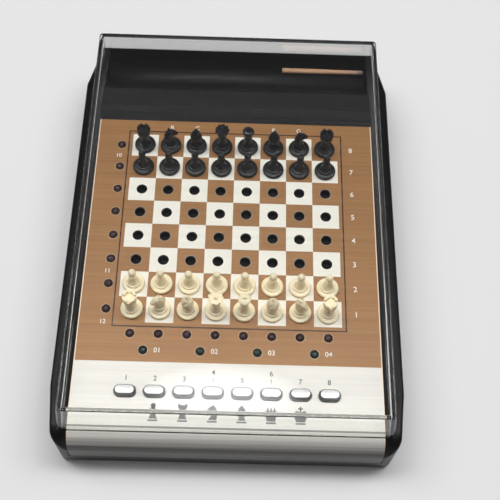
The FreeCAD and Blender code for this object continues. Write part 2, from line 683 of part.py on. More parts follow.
def make_cover():
    """Four leaning walls and a flat top: one wedge with a smaller wedge taken out."""
    outer = cover_wedge("cover_outer", "0", "cover_rim", "cover_top")
    inner = cover_wedge("cover_inner", "cover_wall", "cover_rim - cover_wall", "cover_top - cover_wall")
    doc.recompute()
    rounded = doc.addObject("Part::Fillet", "cover_rounded")
    rounded.Base = outer
    corner, edge_round = number("cover_corner"), number("cover_edge")
    half_way = number("(cover_rim + cover_top) / 2")
    for i, edge in enumerate(outer.Shape.Edges, 1):
        heights = [v.Z > half_way for v in edge.Vertexes]
        if any(heights):
            radius = edge_round if all(heights) else corner
            rounded.Edges = rounded.Edges + [(i, radius, radius)]
    return cut("clear_cover", rounded, [inner])


def make_stick():
    """A round wooden stick that narrows to one end, lying along the tray's rear wall."""
    stick = taper("wooden_stick", "stick_diameter", "stick_tip", "stick_length")
    turn_to(stick, V(0, 1, 0), 90)
    return move(stick, "tray_half - fit - stick_length", "tray_rear - fit - stick_diameter / 2",
                "tray_floor + fit + stick_diameter / 2")


def base_outline(neck_height, neck):
    """The foot that every piece shares, from the peg's tip up to the top of its stem."""
    return [
        ("0", "-peg_length"),
        ("peg_diameter / 2 - fit", "-peg_length"),
        ("peg_diameter / 2", "2 * fit - peg_length"),
        ("peg_diameter / 2", "0"),
        ("piece_base / 2", "0"),
        ("piece_base / 2", "piece_base * 0.09", "piece_base * 0.06"),
        ("piece_base * 0.44", "piece_base * 0.15"),
        ("piece_base * 0.33", "piece_base * 0.20"),
        ("piece_base * 0.32", "piece_base * 0.27"),
        ("piece_base * 0.26", "piece_base * 0.30"),
        (neck, neck_height),
    ]


def make_pawn():
    head = "(piece_base * 0.19)"
    return lathe("pawn_form", base_outline("pawn_height * 0.60", "piece_base * 0.125") + [
        ("piece_base * 0.19", "pawn_height * 0.63"),
        ("piece_base * 0.17", "pawn_height * 0.67"),
        ("piece_base * 0.12", f"pawn_height - {head} - sqrt({head}^2 - (piece_base * 0.12)^2)", head),
        (head, f"pawn_height - {head}", head),
        ("0", "pawn_height"),
    ])


def make_rook():
    tower = lathe("rook_tower", base_outline("rook_height * 0.60", "piece_base * 0.17") + [
        ("piece_base * 0.24", "rook_height * 0.66"),
        ("piece_base * 0.29", "rook_height * 0.68"),
        ("piece_base * 0.29", "rook_height"),
        ("piece_base * 0.18", "rook_height"),
        ("piece_base * 0.17", "rook_height * 0.90"),
        ("0", "rook_height * 0.90"),
    ])
    half, foot, top = "piece_base * 0.06", "rook_height * 0.90", "rook_height + wall"
    slots = [box("rook_slot_x", ("-piece_base", f"-{half}", foot), ("piece_base", half, top)),
             box("rook_slot_y", (f"-{half}", "-piece_base", foot), (half, "piece_base", top))]
    return cut("rook_form", tower, slots)


MITRE_SLIT_ANGLE = -52


def make_bishop():
    ball = "(piece_base * 0.07)"
    tip = "(piece_base * 0.045)"
    mitre = lathe("bishop_mitre", base_outline("bishop_height * 0.42", "piece_base * 0.16") + [
        ("piece_base * 0.25", "bishop_height * 0.46"),
        ("piece_base * 0.25", "bishop_height * 0.50", "piece_base * 0.75"),
        (tip, f"bishop_height - {ball} - sqrt({ball}^2 - {tip}^2)", ball),
        (ball, f"bishop_height - {ball}", ball),
        ("0", "bishop_height"),
    ])
    slit = box("bishop_slit", ("0", "-piece_base", "0"), ("piece_base", "piece_base", "piece_base * 0.07"))
    turn_to(slit, V(0, 1, 0), MITRE_SLIT_ANGLE)
    move(slit, "piece_base * 0.02", 0, "bishop_height * 0.66")
    return cut("bishop_form", mitre, [slit])


def make_queen():
    crown = lathe("queen_crown", base_outline("queen_height * 0.62", "piece_base * 0.15") + [
        ("piece_base * 0.20", "queen_height * 0.70"),
        ("piece_base * 0.35", "queen_height * 0.94"),
        ("piece_base * 0.35", "queen_height * 0.97"),
        ("piece_base * 0.10", "queen_height * 0.97"),
        ("piece_base * 0.08", "queen_height"),
        ("0", "queen_height"),
    ])
    points, ring = 9, "piece_base * 0.375"
    scallops = []
    for i in range(points):
        angle = f"{i * 360 / points}deg"
        scallops.append(rod(f"queen_scallop_{i}", "piece_base * 0.12", "queen_height / 2",
                            f"{ring} * cos({angle})", f"{ring} * sin({angle})", "queen_height * 0.7"))
    return cut("queen_form", crown, scallops)


def make_king():
    crown = lathe("king_crown", base_outline("king_height * 0.58", "piece_base * 0.16") + [
        ("piece_base * 0.19", "king_height * 0.64"),
        ("piece_base * 0.28", "king_height * 0.86"),
        ("piece_base * 0.26", "king_height * 0.90"),
        ("piece_base * 0.10", "king_height * 0.92"),
        ("0", "king_height * 0.92"),
    ])
    post = box("king_post", ("-piece_base * 0.045", "-piece_base * 0.045", "king_height * 0.9"),
               ("piece_base * 0.045", "piece_base * 0.045", "king_height"))
    arm = box("king_arm", ("-piece_base * 0.11", "-piece_base * 0.045", "king_height * 0.945"),
              ("piece_base * 0.11", "piece_base * 0.045", "king_height * 0.975"))
    return fuse("king_form", [crown, post, arm])


def make_knight():
    """A horse's head cut from a side outline, rounded by a turned envelope, on the common foot."""
    collar = "knight_height * 0.34"
    foot = lathe("knight_foot", base_outline(collar, "piece_base * 0.24") + [("0", collar)])
    head = doc.addObject("PartDesign::Body", "knight_head")
    pad = head.newObject("PartDesign::Pad", "knight_head_pad")
    half = "piece_base * 0.17"
    pad.Profile = draw(head, "XZ_Plane", [
        ("-piece_base * 0.20", "knight_height * 0.30"),
        ("piece_base * 0.22", "knight_height * 0.30", "-piece_base * 0.9"),
        ("piece_base * 0.12", "knight_height * 0.60"),
        ("piece_base * 0.34", "knight_height * 0.56"),
        ("piece_base * 0.40", "knight_height * 0.66"),
        ("piece_base * 0.16", "knight_height * 0.89"),
        ("piece_base * 0.06", "knight_height"),
        ("-piece_base * 0.02", "knight_height * 0.93", "piece_base * 0.62"),
        ("-piece_base * 0.31", "knight_height * 0.62", "piece_base * 0.9"),
    ], f"-({half})")
    bind(pad, Length=f"2 * ({half})")
    envelope = lathe("knight_envelope", [
        ("0", "knight_height * 0.28"),
        ("piece_base * 0.30", "knight_height * 0.28"),
        ("piece_base * 0.46", "knight_height * 0.60", "piece_base * 0.62"),
        ("0", "knight_height * 1.04"),
    ])
    return fuse("knight_form", [foot, common("knight_shaped", head, envelope)])


FORMS = {
    "pawn": make_pawn(), "rook": make_rook(), "knight": make_knight(),
    "bishop": make_bishop(), "queen": make_queen(), "king": make_king(),
}
BACK_RANK = ["rook", "knight", "bishop", "queen", "king", "bishop", "knight", "rook"]

# How far a piece is turned in its hole, in degrees; the others stand as their form is drawn
TURNS = {"white_knight_b1": 180, "white_knight_g1": -60}


def make_pieces():
    """Both sides, set up for the first move and named by the square that each piece stands on."""
    nodes = []
    for side, ranks in (("white", (1, 2)), ("black", (8, 7))):
        for rank, kinds in zip(ranks, (BACK_RANK, ["pawn"] * 8)):
            for i, kind in enumerate(kinds):
                name = f"{side}_{kind}_{'abcdefgh'[i]}{rank}"
                node = turn_to(group(name, [FORMS[kind]]), V(0, 0, 1), TURNS.get(name, 0))
                x, y = FILE_CENTRES[i], FILE_CENTRES[rank - 1]
                nodes.append(move(node, f"{x} * square_pitch", f"{y} * square_pitch", "piece_foot"))
    return nodes


nodes = [make_upper_case(), make_lower_case(), make_fascia(), make_peg_guide(), make_contact_sheet()]
nodes += [make_main_board(), make_chips()]
nodes += [make_leds("red_leds", RED_SPOTS), make_leds("green_leds", GREEN_SPOTS)]
nodes += make_keys()
nodes += make_battery_parts()
nodes += make_rear_fittings()
nodes += [make_screws(), make_feet(), make_cover(), make_stick()]
buzzer = rod("buzzer", "buzzer_diameter", "2 * wall", "3 * square_pitch", "-4.5 * square_pitch", "floor_top")
nodes += [buzzer] + make_pieces()
doc.recompute()

for item in doc.Objects:
    if "Invalid" in item.State or "Error" in item.State:
        raise RuntimeError(f"{item.Label} did not build: {item.State}")
for node in nodes:
    if node.Shape.isNull() or not node.Shape.isValid() or not node.Shape.Solids:
        raise RuntimeError(f"{node.Label} has no sound solid")

os.makedirs("parts", exist_ok=True)
for node in nodes:
    node.Shape.exportStep(f"parts/{node.Label}.step")
    print(node.Label, len(node.Shape.Solids), round(node.Shape.Volume, 1))
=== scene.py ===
# %% [markdown]
# A pocket chess computer, dressed for its picture. Its solids, in metres, could be remodelled here, but two
# models drift apart. So every piece takes its measures from a solid and only adds rounds, print and grain.

# %% Load the solids
import math

import bmesh
import bpy
import numpy as np
from mathutils import Matrix, Vector


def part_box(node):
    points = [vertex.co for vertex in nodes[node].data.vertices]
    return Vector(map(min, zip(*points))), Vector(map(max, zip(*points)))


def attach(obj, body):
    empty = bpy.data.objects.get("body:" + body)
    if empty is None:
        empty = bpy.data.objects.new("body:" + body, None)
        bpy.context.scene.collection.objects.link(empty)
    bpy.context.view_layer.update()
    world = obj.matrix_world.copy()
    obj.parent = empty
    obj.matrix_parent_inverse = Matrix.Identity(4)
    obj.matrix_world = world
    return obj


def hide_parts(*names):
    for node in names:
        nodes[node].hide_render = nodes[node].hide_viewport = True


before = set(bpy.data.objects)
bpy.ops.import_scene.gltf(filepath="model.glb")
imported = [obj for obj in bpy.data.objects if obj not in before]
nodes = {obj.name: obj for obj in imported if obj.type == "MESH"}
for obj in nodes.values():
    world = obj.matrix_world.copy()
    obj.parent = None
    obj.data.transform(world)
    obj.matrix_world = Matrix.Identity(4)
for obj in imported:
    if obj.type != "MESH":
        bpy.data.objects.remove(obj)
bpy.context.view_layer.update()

MM = 0.001

# %% [markdown]
# The board's pitch and the deck's height place everything else. They could be typed in again, but the solids
# hold them: two neighbouring pawns stand one square apart, and the fascia's top is the deck.

# %% Measure the solids


def span(node):
    """A solid's lowest and highest corner."""
    low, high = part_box(node)
    return np.array(low), np.array(high)


def middle(node):
    """The centre of a solid's box."""
    return np.mean(span(node), axis=0)


SQUARE = middle("white_pawn_b2")[0] - middle("white_pawn_a2")[0]
DECK = span("fascia_plate")[1][2]
print(f"square {SQUARE / MM:.2f} mm, deck {DECK / MM:.2f} mm")

# %% [markdown]
# Most pieces are grids of points, along a profile and round it. Spinning a curve with a modifier does for
# round pieces only. Arrays of points do for keys, horses and covers as well.

# %% Grids of points become meshes
GRID_WELD = 0.0005 * MM


def grid_faces(rows, columns, first):
    """Four-sided faces of a grid numbered row by row from `first`; the last column joins the first one."""
    row = first + np.arange(rows - 1)[:, None] * columns
    here = np.arange(columns)[None, :]
    beside = (here + 1) % columns
    corners = [row + here, row + beside, row + columns + beside, row + columns + here]
    return np.stack(corners, -1).reshape(-1, 4)


def weld(mesh, gap):
    """Joins points that fall together, which closes seams, and turns every face outwards."""
    work = bmesh.new()
    work.from_mesh(mesh)
    bmesh.ops.remove_doubles(work, verts=work.verts, dist=gap)
    bmesh.ops.dissolve_degenerate(work, edges=work.edges, dist=gap)
    bmesh.ops.recalc_face_normals(work, faces=work.faces)
    work.to_mesh(mesh)
    work.free()


def grid_mesh(name, grids):
    """One mesh from closed grids, each an array of rows x columns x 3."""
    points = np.concatenate([g.reshape(-1, 3) for g in grids])
    starts = np.cumsum([0] + [g.shape[0] * g.shape[1] for g in grids])
    faces = np.concatenate([grid_faces(*g.shape[:2], first) for g, first in zip(grids, starts)])
    mesh = bpy.data.meshes.new(name)
    mesh.from_pydata(points.tolist(), [], faces.tolist())
    weld(mesh, GRID_WELD)
    return mesh


def add_object(name, data):
    """Puts a mesh, a lamp or a camera into the scene."""
    added = bpy.data.objects.new(name, data)
    bpy.context.scene.collection.objects.link(added)
    return added


def add_piece(name, mesh, material, body, slot, stands_for=(), crease=35):
    """A finished mesh as a piece on its body, smooth up to the crease angle in degrees."""
    mesh.shade_smooth()
    mesh.set_sharp_from_angle(angle=math.radians(crease))
    mesh.materials.clear()
    mesh.materials.append(material)
    piece = add_object(name, mesh)
    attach(piece, body)
    if stands_for:
        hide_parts(*stands_for)
    print(name, len(mesh.polygons), "faces")


def add_grids(name, grids, *details):
    """A piece from closed grids, with add_piece's details from the material on."""
    add_piece(name, grid_mesh(name, grids), *details)


print("grid tools ready")

# %% [markdown]
# Profiles are arcs, smooth curves and single points. They could be drawn by hand as Bezier curves, but a
# formula keeps each round true at any size and gives the plain arrays that the grids need.

# %% Curves for profiles


def smooth(points, steps):
    """A Catmull-Rom curve: in each span a cubic whose end slopes are half the chord between neighbours."""
    p = np.asarray(points, float)
    p = np.vstack([2 * p[0] - p[1], p, 2 * p[-1] - p[-2]])
    t = np.linspace(0, len(points) - 1, steps)
    i = np.minimum(t.astype(int), len(points) - 2)
    u = (t - i)[:, None]
    a, b, c, d = p[i], p[i + 1], p[i + 2], p[i + 3]
    return 0.5 * (2 * b + (c - a) * u + (2 * a - 5 * b + 4 * c - d) * u**2 + (3 * b - a - 3 * c + d) * u**3)


def arc(x, z, radius, start, end, steps):
    """Points of an arc between two angles in degrees: (x + r cos a, z + r sin a)."""
    a = np.radians(np.linspace(start, end, steps))
    return np.stack([x + radius * np.cos(a), z + radius * np.sin(a)], -1)


def ring_angles(count):
    """Even steps of one full turn."""
    return np.linspace(0, 2 * np.pi, count, endpoint=False)


def turned(profile, angles):
    """A profile of (radius, height) turned about the upright axis: (r cos a, r sin a, z)."""
    r, z = np.asarray(profile).T
    return np.stack([np.outer(r, np.cos(angles)), np.outer(r, np.sin(angles)),
                     np.repeat(z[:, None], len(angles), 1)], -1)


def level_ring(outline, height):
    """An outline of (x, y) laid flat at a height."""
    return np.column_stack([outline, np.full(len(outline), height)])


print("curve tools ready")

# %% [markdown]
# Finishes are node trees. Written out node by node they run to pages. This helper's methods each add one kind
# of node and give back its output, so a finish can be read like a formula.

# %% A helper that wires nodes


class Wiring:
    """Adds nodes to a tree. An input is a number, a colour or another node's output."""

    def __init__(self, tree):
        self.tree = tree

    def node(self, kind, inputs=None, **settings):
        """A node, with its settings, and its inputs by name or number."""
        made = self.tree.nodes.new(kind)
        for name, value in settings.items():
            setattr(made, name, value)
        for name, value in (inputs or {}).items():
            self.feed(made.inputs[name], value)
        return made

    def feed(self, socket, value):
        """Links an output, or writes a plain value. A colour may leave out its alpha."""
        if isinstance(value, bpy.types.NodeSocket):
            self.tree.links.new(value, socket)
        else:
            socket.default_value = (*value, 1) if socket.type == "RGBA" and len(value) == 3 else value

    def math(self, operation, *values):
        """One step of arithmetic."""
        return self.node("ShaderNodeMath", dict(enumerate(values)), operation=operation).outputs[0]

    def times(self, first, second):
        """A product."""
        return self.math("MULTIPLY", first, second)

    def between(self, value, low, high):
        """1 where the value lies between two limits, else 0."""
        above, below = self.math("GREATER_THAN", value, low), self.math("LESS_THAN", value, high)
        return self.times(above, below)

    def mix(self, share, first, second):
        """The first colour where share is 0, the second where it is 1."""
        return self.node("ShaderNodeMix", {0: share, 6: first, 7: second}, data_type="RGBA").outputs[2]

    def ramp(self, value, low, high, start=0.0, end=1.0):
        """A value from start..end stretched to low..high, and held there outside."""
        return self.node("ShaderNodeMapRange", {"Value": value, "From Min": start, "From Max": end,
                                                "To Min": low, "To Max": high}).outputs[0]

    def toned(self, colour, factor):
        """A colour made brighter or darker by a factor."""
        return self.node("ShaderNodeHueSaturation", {"Color": colour, "Value": factor}).outputs[0]

    def stretched(self, place, scale):
        """Coordinates times a scale on each axis."""
        return self.node("ShaderNodeMapping", {"Vector": place, "Scale": scale}).outputs[0]

    def noise(self, place, scale, detail):
        """Soft noise from 0 to 1."""
        return self.node("ShaderNodeTexNoise", {"Vector": place, "Scale": scale, "Detail": detail}).outputs[0]

    def split(self, place):
        """The x, y and z of a vector."""
        return self.node("ShaderNodeSeparateXYZ", {0: place}).outputs

    def facing_up(self):
        """How far the surface faces up: 1 on a flat top, 0 on an upright wall."""
        return self.split(self.node("ShaderNodeNewGeometry").outputs["Normal"])[2]


print("wiring ready")

# %% [markdown]
# Moulded grain, brushed lines and settled dust turn up in many finishes. Their nodes could be copied into
# each material, but a change would then be made many times. As node groups they are built once.

# %% Effects that finishes share
SOCKET_KINDS = {"Place": "Vector", "Colour": "Color"}


def new_group(name, given, gives):
    """An empty node group with named sockets. Returns its wiring, its inputs and its outputs."""
    tree = bpy.data.node_groups.new(name, "ShaderNodeTree")
    for way, sockets in (("INPUT", given), ("OUTPUT", gives)):
        for socket in sockets:
            kind = "NodeSocket" + SOCKET_KINDS.get(socket, "Float")
            tree.interface.new_socket(socket, in_out=way, socket_type=kind)
    wires = Wiring(tree)
    return wires, wires.node("NodeGroupInput").outputs, wires.node("NodeGroupOutput").inputs


def grain_group():
    """Fine cells for the height, and slow clouds that shift colour and roughness a little."""
    w, given, out = new_group("moulded_grain", ["Place", "Colour", "Cells", "Variation", "Roughness"],
                              ["Colour", "Roughness", "Height"])
    clouds = w.noise(given["Place"], 45.0, 4.0)
    shift = w.times(w.math("SUBTRACT", clouds, 0.5), given["Variation"])
    w.feed(out["Colour"], w.toned(given["Colour"], w.math("ADD", 1.0, shift)))
    w.feed(out["Roughness"], w.math("ADD", given["Roughness"], shift))
    w.feed(out["Height"], w.noise(given["Place"], given["Cells"], 1.0))
    return w.tree


def brush_group():
    """Noise drawn out along X until only lines are left, and wider bands of the same."""
    w, given, out = new_group("brushed_lines", ["Place", "Across", "Along"], ["Lines", "Bands"])
    along, across = given["Along"], given["Across"]
    scale = w.node("ShaderNodeCombineXYZ", {0: along, 1: across, 2: across}).outputs[0]
    drawn = w.node("ShaderNodeVectorMath", {0: given["Place"], 1: scale}, operation="MULTIPLY").outputs[0]
    w.feed(out["Lines"], w.noise(drawn, 1.0, 2.0))
    w.feed(out["Bands"], w.noise(drawn, 0.13, 3.0))
    return w.tree


def dust_group():
    """Specks and a thin film on faces that look up, as a share from 0 to 1."""
    w, given, out = new_group("settled_dust", ["Place", "Film", "Specks"], ["Share"])
    lying = w.math("MAXIMUM", w.facing_up(), 0.0)
    film = w.times(w.noise(given["Place"], 130.0, 5.0), given["Film"])
    grains = w.node("ShaderNodeTexVoronoi", {"Vector": given["Place"], "Scale": 420.0}).outputs["Distance"]
    speck = w.times(w.math("LESS_THAN", grains, 0.055), given["Specks"])
    w.feed(out["Share"], w.times(w.math("ADD", film, speck), lying))
    return w.tree


GRAIN, BRUSH, DUST = grain_group(), brush_group(), dust_group()
print("groups:", [g.name for g in (GRAIN, BRUSH, DUST)])

# %% [markdown]
# Every finish starts with a Principled shader and the piece's own coordinates. Generated ones would stretch
# with each piece. Pieces sit at the origin, so their own ones are real places on the object, in metres.

# %% Start of a finish
DUST_GREY, DUST_SPECKS = (0.42, 0.40, 0.37), 0.35


class Finish(Wiring):
    """A material with a Principled shader. `place` is the piece's own coordinates."""

    def __init__(self, name, **constants):
        self.material = bpy.data.materials.new(name)
        self.material.use_nodes = True
        super().__init__(self.material.node_tree)
        self.shader = self.tree.nodes["Principled BSDF"]
        self.place = self.node("ShaderNodeTexCoord").outputs["Object"]
        for socket, value in constants.items():
            self.shader.inputs[socket.replace("_", " ")].default_value = value

    def group(self, tree, **inputs):
        """The outputs of a shared effect."""
        return self.node("ShaderNodeGroup", {"Place": self.place, **inputs}, node_tree=tree).outputs

    def bump(self, height, distance, strength=1.0):
        """Small relief: a height from 0 to 1 times a distance in metres."""
        made = self.node("ShaderNodeBump", {"Height": height, "Distance": distance, "Strength": strength})
        self.feed(self.shader.inputs["Normal"], made.outputs[0])

    def shade(self, colour, roughness, metallic=0.0):
        """Feeds the shader and gives back the finished material."""
        for socket, value in (("Base Color", colour), ("Roughness", roughness), ("Metallic", metallic)):
            self.feed(self.shader.inputs[socket], value)
        return self.material


def moulded(name, colour, roughness, cells=4000.0, depth=0.01, variation=0.12, dust=0.0, **constants):
    """Plastic from a mould: grain in the skin, clouds in the colour, and a share of dust."""
    f = Finish(name, **constants)
    grain = f.group(GRAIN, Colour=colour, Cells=cells, Variation=variation, Roughness=roughness)
    tint = grain["Colour"]
    if dust:
        tint = f.mix(f.group(DUST, Film=dust, Specks=DUST_SPECKS)["Share"], tint, DUST_GREY)
    f.bump(grain["Height"], depth * MM)
    return f.shade(tint, grain["Roughness"])


print("finish helper ready")

# %% [markdown]
# The fascia is one aluminium sheet with print on it. The print could be a picture, which needs a file. It is
# worked out from the coordinates instead, counted in squares from the board's middle.

# %% Places and colours of the print and its painted shade
HALF_BOARD = 4.0
BLACK_EDGE, SILVER_EDGE = 4.67, -5.47
# The second band is a painted shadow under the foot of the cover's front wall.
FRAME_LINE, FOOT_SHADOW_LINE = (4.125, 4.172), (-7.69, -7.62)
HOLE_EDGE, HOLE_RING = 0.203, 0.230
LAMP_SHADE, LAMP_RING = 0.168, 0.192
LAMP, PALE_BAND_WIDTH = 3.0 * MM, 0.4 * MM
SIDE_EDGE = (span("fascia_plate")[1][0] - PALE_BAND_WIDTH) / SQUARE
RED_ROW = abs(span("red_leds")[0][1] + LAMP / 2) / SQUARE
GREEN_ROW = abs(middle("green_leds")[1]) / SQUARE
BROWN = (0.30, 0.141, 0.045)
PAPER_WHITE = (0.93, 0.895, 0.80)
STRIP_BLACK = (0.006, 0.006, 0.007)
FRAME_INK = (0.030, 0.013, 0.008)
BARE_SILVER = (0.645, 0.623, 0.578)
# a pale band 0.4 mm wide along each side edge of the sheet
PALE_SIDE_BAND = (0.78, 0.62, 0.47)
# painted shadow under the foot of the cover's front wall
PAINTED_FOOT_SHADOW = (0.11, 0.10, 0.09)
# painted shade for the bend, standing in for the dark room that it mirrors
PAINTED_BEND_SHADE = (0.085, 0.082, 0.079)
RING_GREY = (0.30, 0.23, 0.17)
LAMP_EDGE = (0.42, 0.26, 0.14)
# painted shade at the rims of the peg holes and the lamp holes
PAINTED_HOLE_SHADE = (0.012, 0.010, 0.009)
SILVER_STREAK = 0.40
print(f"red lamps {RED_ROW:.2f} and green lamps {GREEN_ROW:.2f} squares from the middle")

# %% [markdown]
# The print is zones by Y, squares by a checker and discs at the holes. The dark discs at the holes' rims are
# painted shade. Each could be a mesh of its own, but hundreds of thin meshes would flicker on the sheet.
# Layers of colour in one finish can't.

# %% Shapes of the print


def disc(f, x, y, radius):
    """1 within a radius of the place where x and y are 0, else 0."""
    off_centre = f.math("SQRT", f.math("ADD", f.math("POWER", x, 2.0), f.math("POWER", y, 2.0)))
    return f.math("LESS_THAN", off_centre, radius)


def off_middle(f, value, step=1.0):
    """The distance from the middle of the step that a value lies in."""
    return f.times(f.math("SUBTRACT", f.math("FRACT", f.math("DIVIDE", value, step)), 0.5), step)


def lamp_discs(f, x, y, radius):
    """Discs at the lamp holes: a column on the left, a row in front and four before it."""
    beside_x, beside_y = f.between(x, -HALF_BOARD, HALF_BOARD), f.between(y, -HALF_BOARD, HALF_BOARD)
    left = disc(f, f.math("ADD", x, RED_ROW), off_middle(f, y), radius)
    front = disc(f, off_middle(f, x), f.math("ADD", y, RED_ROW), radius)
    fore = disc(f, off_middle(f, x, 2.0), f.math("ADD", y, GREEN_ROW), radius)
    rows = f.times(f.math("MAXIMUM", front, fore), beside_x)
    return f.math("MAXIMUM", f.times(left, beside_y), rows)


def printed_colour(f, x, y, tone):
    """The sheet's colour with all its print and painted shade, and the share that is opaque paint."""
    aside = f.math("ABSOLUTE", x)
    far = f.math("MAXIMUM", aside, f.math("ABSOLUTE", y))
    on_board = f.math("LESS_THAN", far, HALF_BOARD)
    flat = f.node("ShaderNodeCombineXYZ", {0: x, 1: y, 2: 0.5}).outputs[0]
    checker = f.node("ShaderNodeTexChecker", {"Vector": flat, "Scale": 1.0}).outputs["Fac"]
    ring, edge = (f.times(disc(f, off_middle(f, x), off_middle(f, y), radius), on_board)
                  for radius in (HOLE_RING, HOLE_EDGE))
    light = f.times(checker, on_board)
    line = f.between(far, *FRAME_LINE)
    black = f.math("GREATER_THAN", y, BLACK_EDGE)
    streak = f.math("ADD", 1.0 - SILVER_STREAK, f.times(tone, SILVER_STREAK))
    colour = f.mix(f.math("LESS_THAN", y, SILVER_EDGE), f.toned(BROWN, tone), f.toned(BARE_SILVER, streak))
    # the dark discs at the hole and lamp rims and the line under the cover's front foot are painted shade
    layers = [
        (ring, RING_GREY), (light, PAPER_WHITE), (line, FRAME_INK), (edge, PAINTED_HOLE_SHADE),
        (lamp_discs(f, x, y, LAMP_RING), LAMP_EDGE), (lamp_discs(f, x, y, LAMP_SHADE), PAINTED_HOLE_SHADE),
        (f.math("GREATER_THAN", aside, SIDE_EDGE), PALE_SIDE_BAND), (f.between(y, *FOOT_SHADOW_LINE), PAINTED_FOOT_SHADOW),
        (black, STRIP_BLACK)]
    for share, ink in layers:
        colour = f.mix(share, colour, ink)
    return colour, f.math("MAXIMUM", f.math("MAXIMUM", light, black), line)


print("print tools ready")

# %% [markdown]
# The sheet bends down in front. There it is bare and mirrors more of the room. Its colour darkens towards
# the table: painted shade that stands in for the dark room it mirrors. A second material could start there,
# but its edge would show, so the change follows how the surface faces.

# %% The printed fascia
LINE_TONE, BAND_TONE = (0.72, 1.28), (0.90, 1.10)
BEND, BEND_METAL, PAINTED_SHADE_TURN = (0.85, 0.40), (0.16, 0.92), (0.87, 0.44)
FASCIA_ROUGH, PAINT_GLOSS = (0.34, 0.44), 0.12


def printed_fascia():
    """Print on brushed metal. In the bend the metal share grows, and painted shade darkens the colour as the
    sheet turns.
    """
    f = Finish("fascia_print")
    brush = f.group(BRUSH, Across=1900.0, Along=14.0)
    x, y, _ = f.split(f.stretched(f.place, (1 / SQUARE,) * 3))
    tone = f.times(f.ramp(brush["Lines"], *LINE_TONE), f.ramp(brush["Bands"], *BAND_TONE))
    colour, painted = printed_colour(f, x, y, tone)
    up = f.facing_up()
    metal = f.times(f.ramp(up, *BEND_METAL, *BEND), f.math("SUBTRACT", 1.0, painted))
    gloss = f.times(painted, PAINT_GLOSS)
    f.bump(brush["Lines"], 0.006 * MM, 0.5)
    # painted shade: the bend's colour darkens as it turns down, in place of the dark room it mirrors
    return f.shade(f.mix(f.ramp(up, 0.0, 1.0, *PAINTED_SHADE_TURN), colour, PAINTED_BEND_SHADE),
                   f.math("SUBTRACT", f.ramp(brush["Bands"], *FASCIA_ROUGH), gloss), metal)


FASCIA = printed_fascia()
print("finish:", FASCIA.name)

# %% [markdown]
# The case, the pieces, the lamps and most inner parts are moulded plastic. One flat colour each would do from
# afar. Real mouldings are never quite even, so each has its own grain, clouds and share of dust.

# %% Plastics and inks
CASE = moulded("case_black_plastic", (0.0055, 0.0055, 0.006), 0.30, cells=3200, depth=0.003, dust=0.010,
               Specular_IOR_Level=0.12)
IVORY = moulded("piece_ivory_plastic", (1.0, 0.87, 0.60), 0.40, cells=1500, depth=0.004, variation=0.06,
                Subsurface_Weight=0.1, Subsurface_Scale=0.001, Subsurface_Radius=(1.0, 0.85, 0.6))
EBONY = moulded("piece_black_plastic", (0.006, 0.007, 0.009), 0.30, cells=1500, depth=0.004, dust=0.006,
                Specular_IOR_Level=0.28)
GUIDE = moulded("guide_black_plastic", (0.002, 0.002, 0.002), 0.8, Specular_IOR_Level=0.1)
FITTING = moulded("fitting_black_plastic", (0.016, 0.016, 0.017), 0.45)
FILM = moulded("contact_printed_film", (0.008, 0.008, 0.009), 0.6, Specular_IOR_Level=0.1)
LAMINATE = moulded("board_green_laminate", (0.09, 0.15, 0.05), 0.4, cells=1200, variation=0.25)
CHIP = moulded("chip_black_package", (0.02, 0.02, 0.02), 0.6, cells=6000)
RUBBER = moulded("foot_matt_rubber", (0.03, 0.03, 0.03), 0.8, cells=2500, depth=0.04, dust=0.1)
SLEEVE = moulded("cell_plain_sleeve", (0.16, 0.17, 0.19), 0.35, variation=0.2)
RED = moulded("lamp_red_tint", (0.040, 0.014, 0.018), 0.30, cells=900, depth=0.002)
GREEN = moulded("lamp_green_tint", (0.009, 0.030, 0.024), 0.30, cells=900, depth=0.002)
WHITE_INK = moulded("print_white_ink", (0.88, 0.84, 0.77), 0.5, cells=6000, depth=0.001)
DARK_INK = moulded("print_dark_ink", (0.020, 0.019, 0.019), 0.5, cells=6000, depth=0.001)
print(len(bpy.data.materials), "materials so far")

# %% [markdown]
# Contacts and screws are bare metal, and the keys are plated. A plain Metallic value would give mirrors, but
# drawn metal has lines. The keys' tops stay pale like paint. Their steeper sides mirror the room, and their
# colour is darkened too, as a painted reflection of the dark room.

# %% Metals
DRAWN_LINES, DRAWN_TONE = 5200.0, (0.86, 1.10)
# the sides' dark colour is a painted reflection of the dark room
KEY_TOP, PAINTED_DARK_SIDE = (0.93, 0.93, 0.94), (0.20, 0.20, 0.21)
KEY_TONE, KEY_ROUGH = (0.94, 1.06), (0.22, 0.34)
KEY_STEEP, KEY_METAL = (0.97, 0.80), (0.15, 0.95)


def brushed(name, colour, roughness, along=60.0):
    """Bare metal with drawn lines that shift its tone and roughness."""
    f = Finish(name)
    brush = f.group(BRUSH, Across=DRAWN_LINES, Along=along)
    f.bump(brush["Lines"], 0.004 * MM)
    tint = f.toned(colour, f.ramp(brush["Lines"], *DRAWN_TONE))
    return f.shade(tint, f.ramp(brush["Bands"], roughness - 0.06, roughness + 0.08), 1.0)


def key_plating():
    """A bright top that scatters light, and steeper metal sides darkened by a painted reflection of the dark
    room.
    """
    f = Finish("key_plated_cap")
    brush = f.group(BRUSH, Across=3000.0, Along=400.0)
    steep = f.ramp(f.facing_up(), 0.0, 1.0, *KEY_STEEP)
    f.bump(brush["Lines"], 0.003 * MM)
    tint = f.toned(f.mix(steep, KEY_TOP, PAINTED_DARK_SIDE), f.ramp(brush["Lines"], *KEY_TONE))
    return f.shade(tint, f.ramp(brush["Bands"], *KEY_ROUGH), f.ramp(steep, *KEY_METAL))


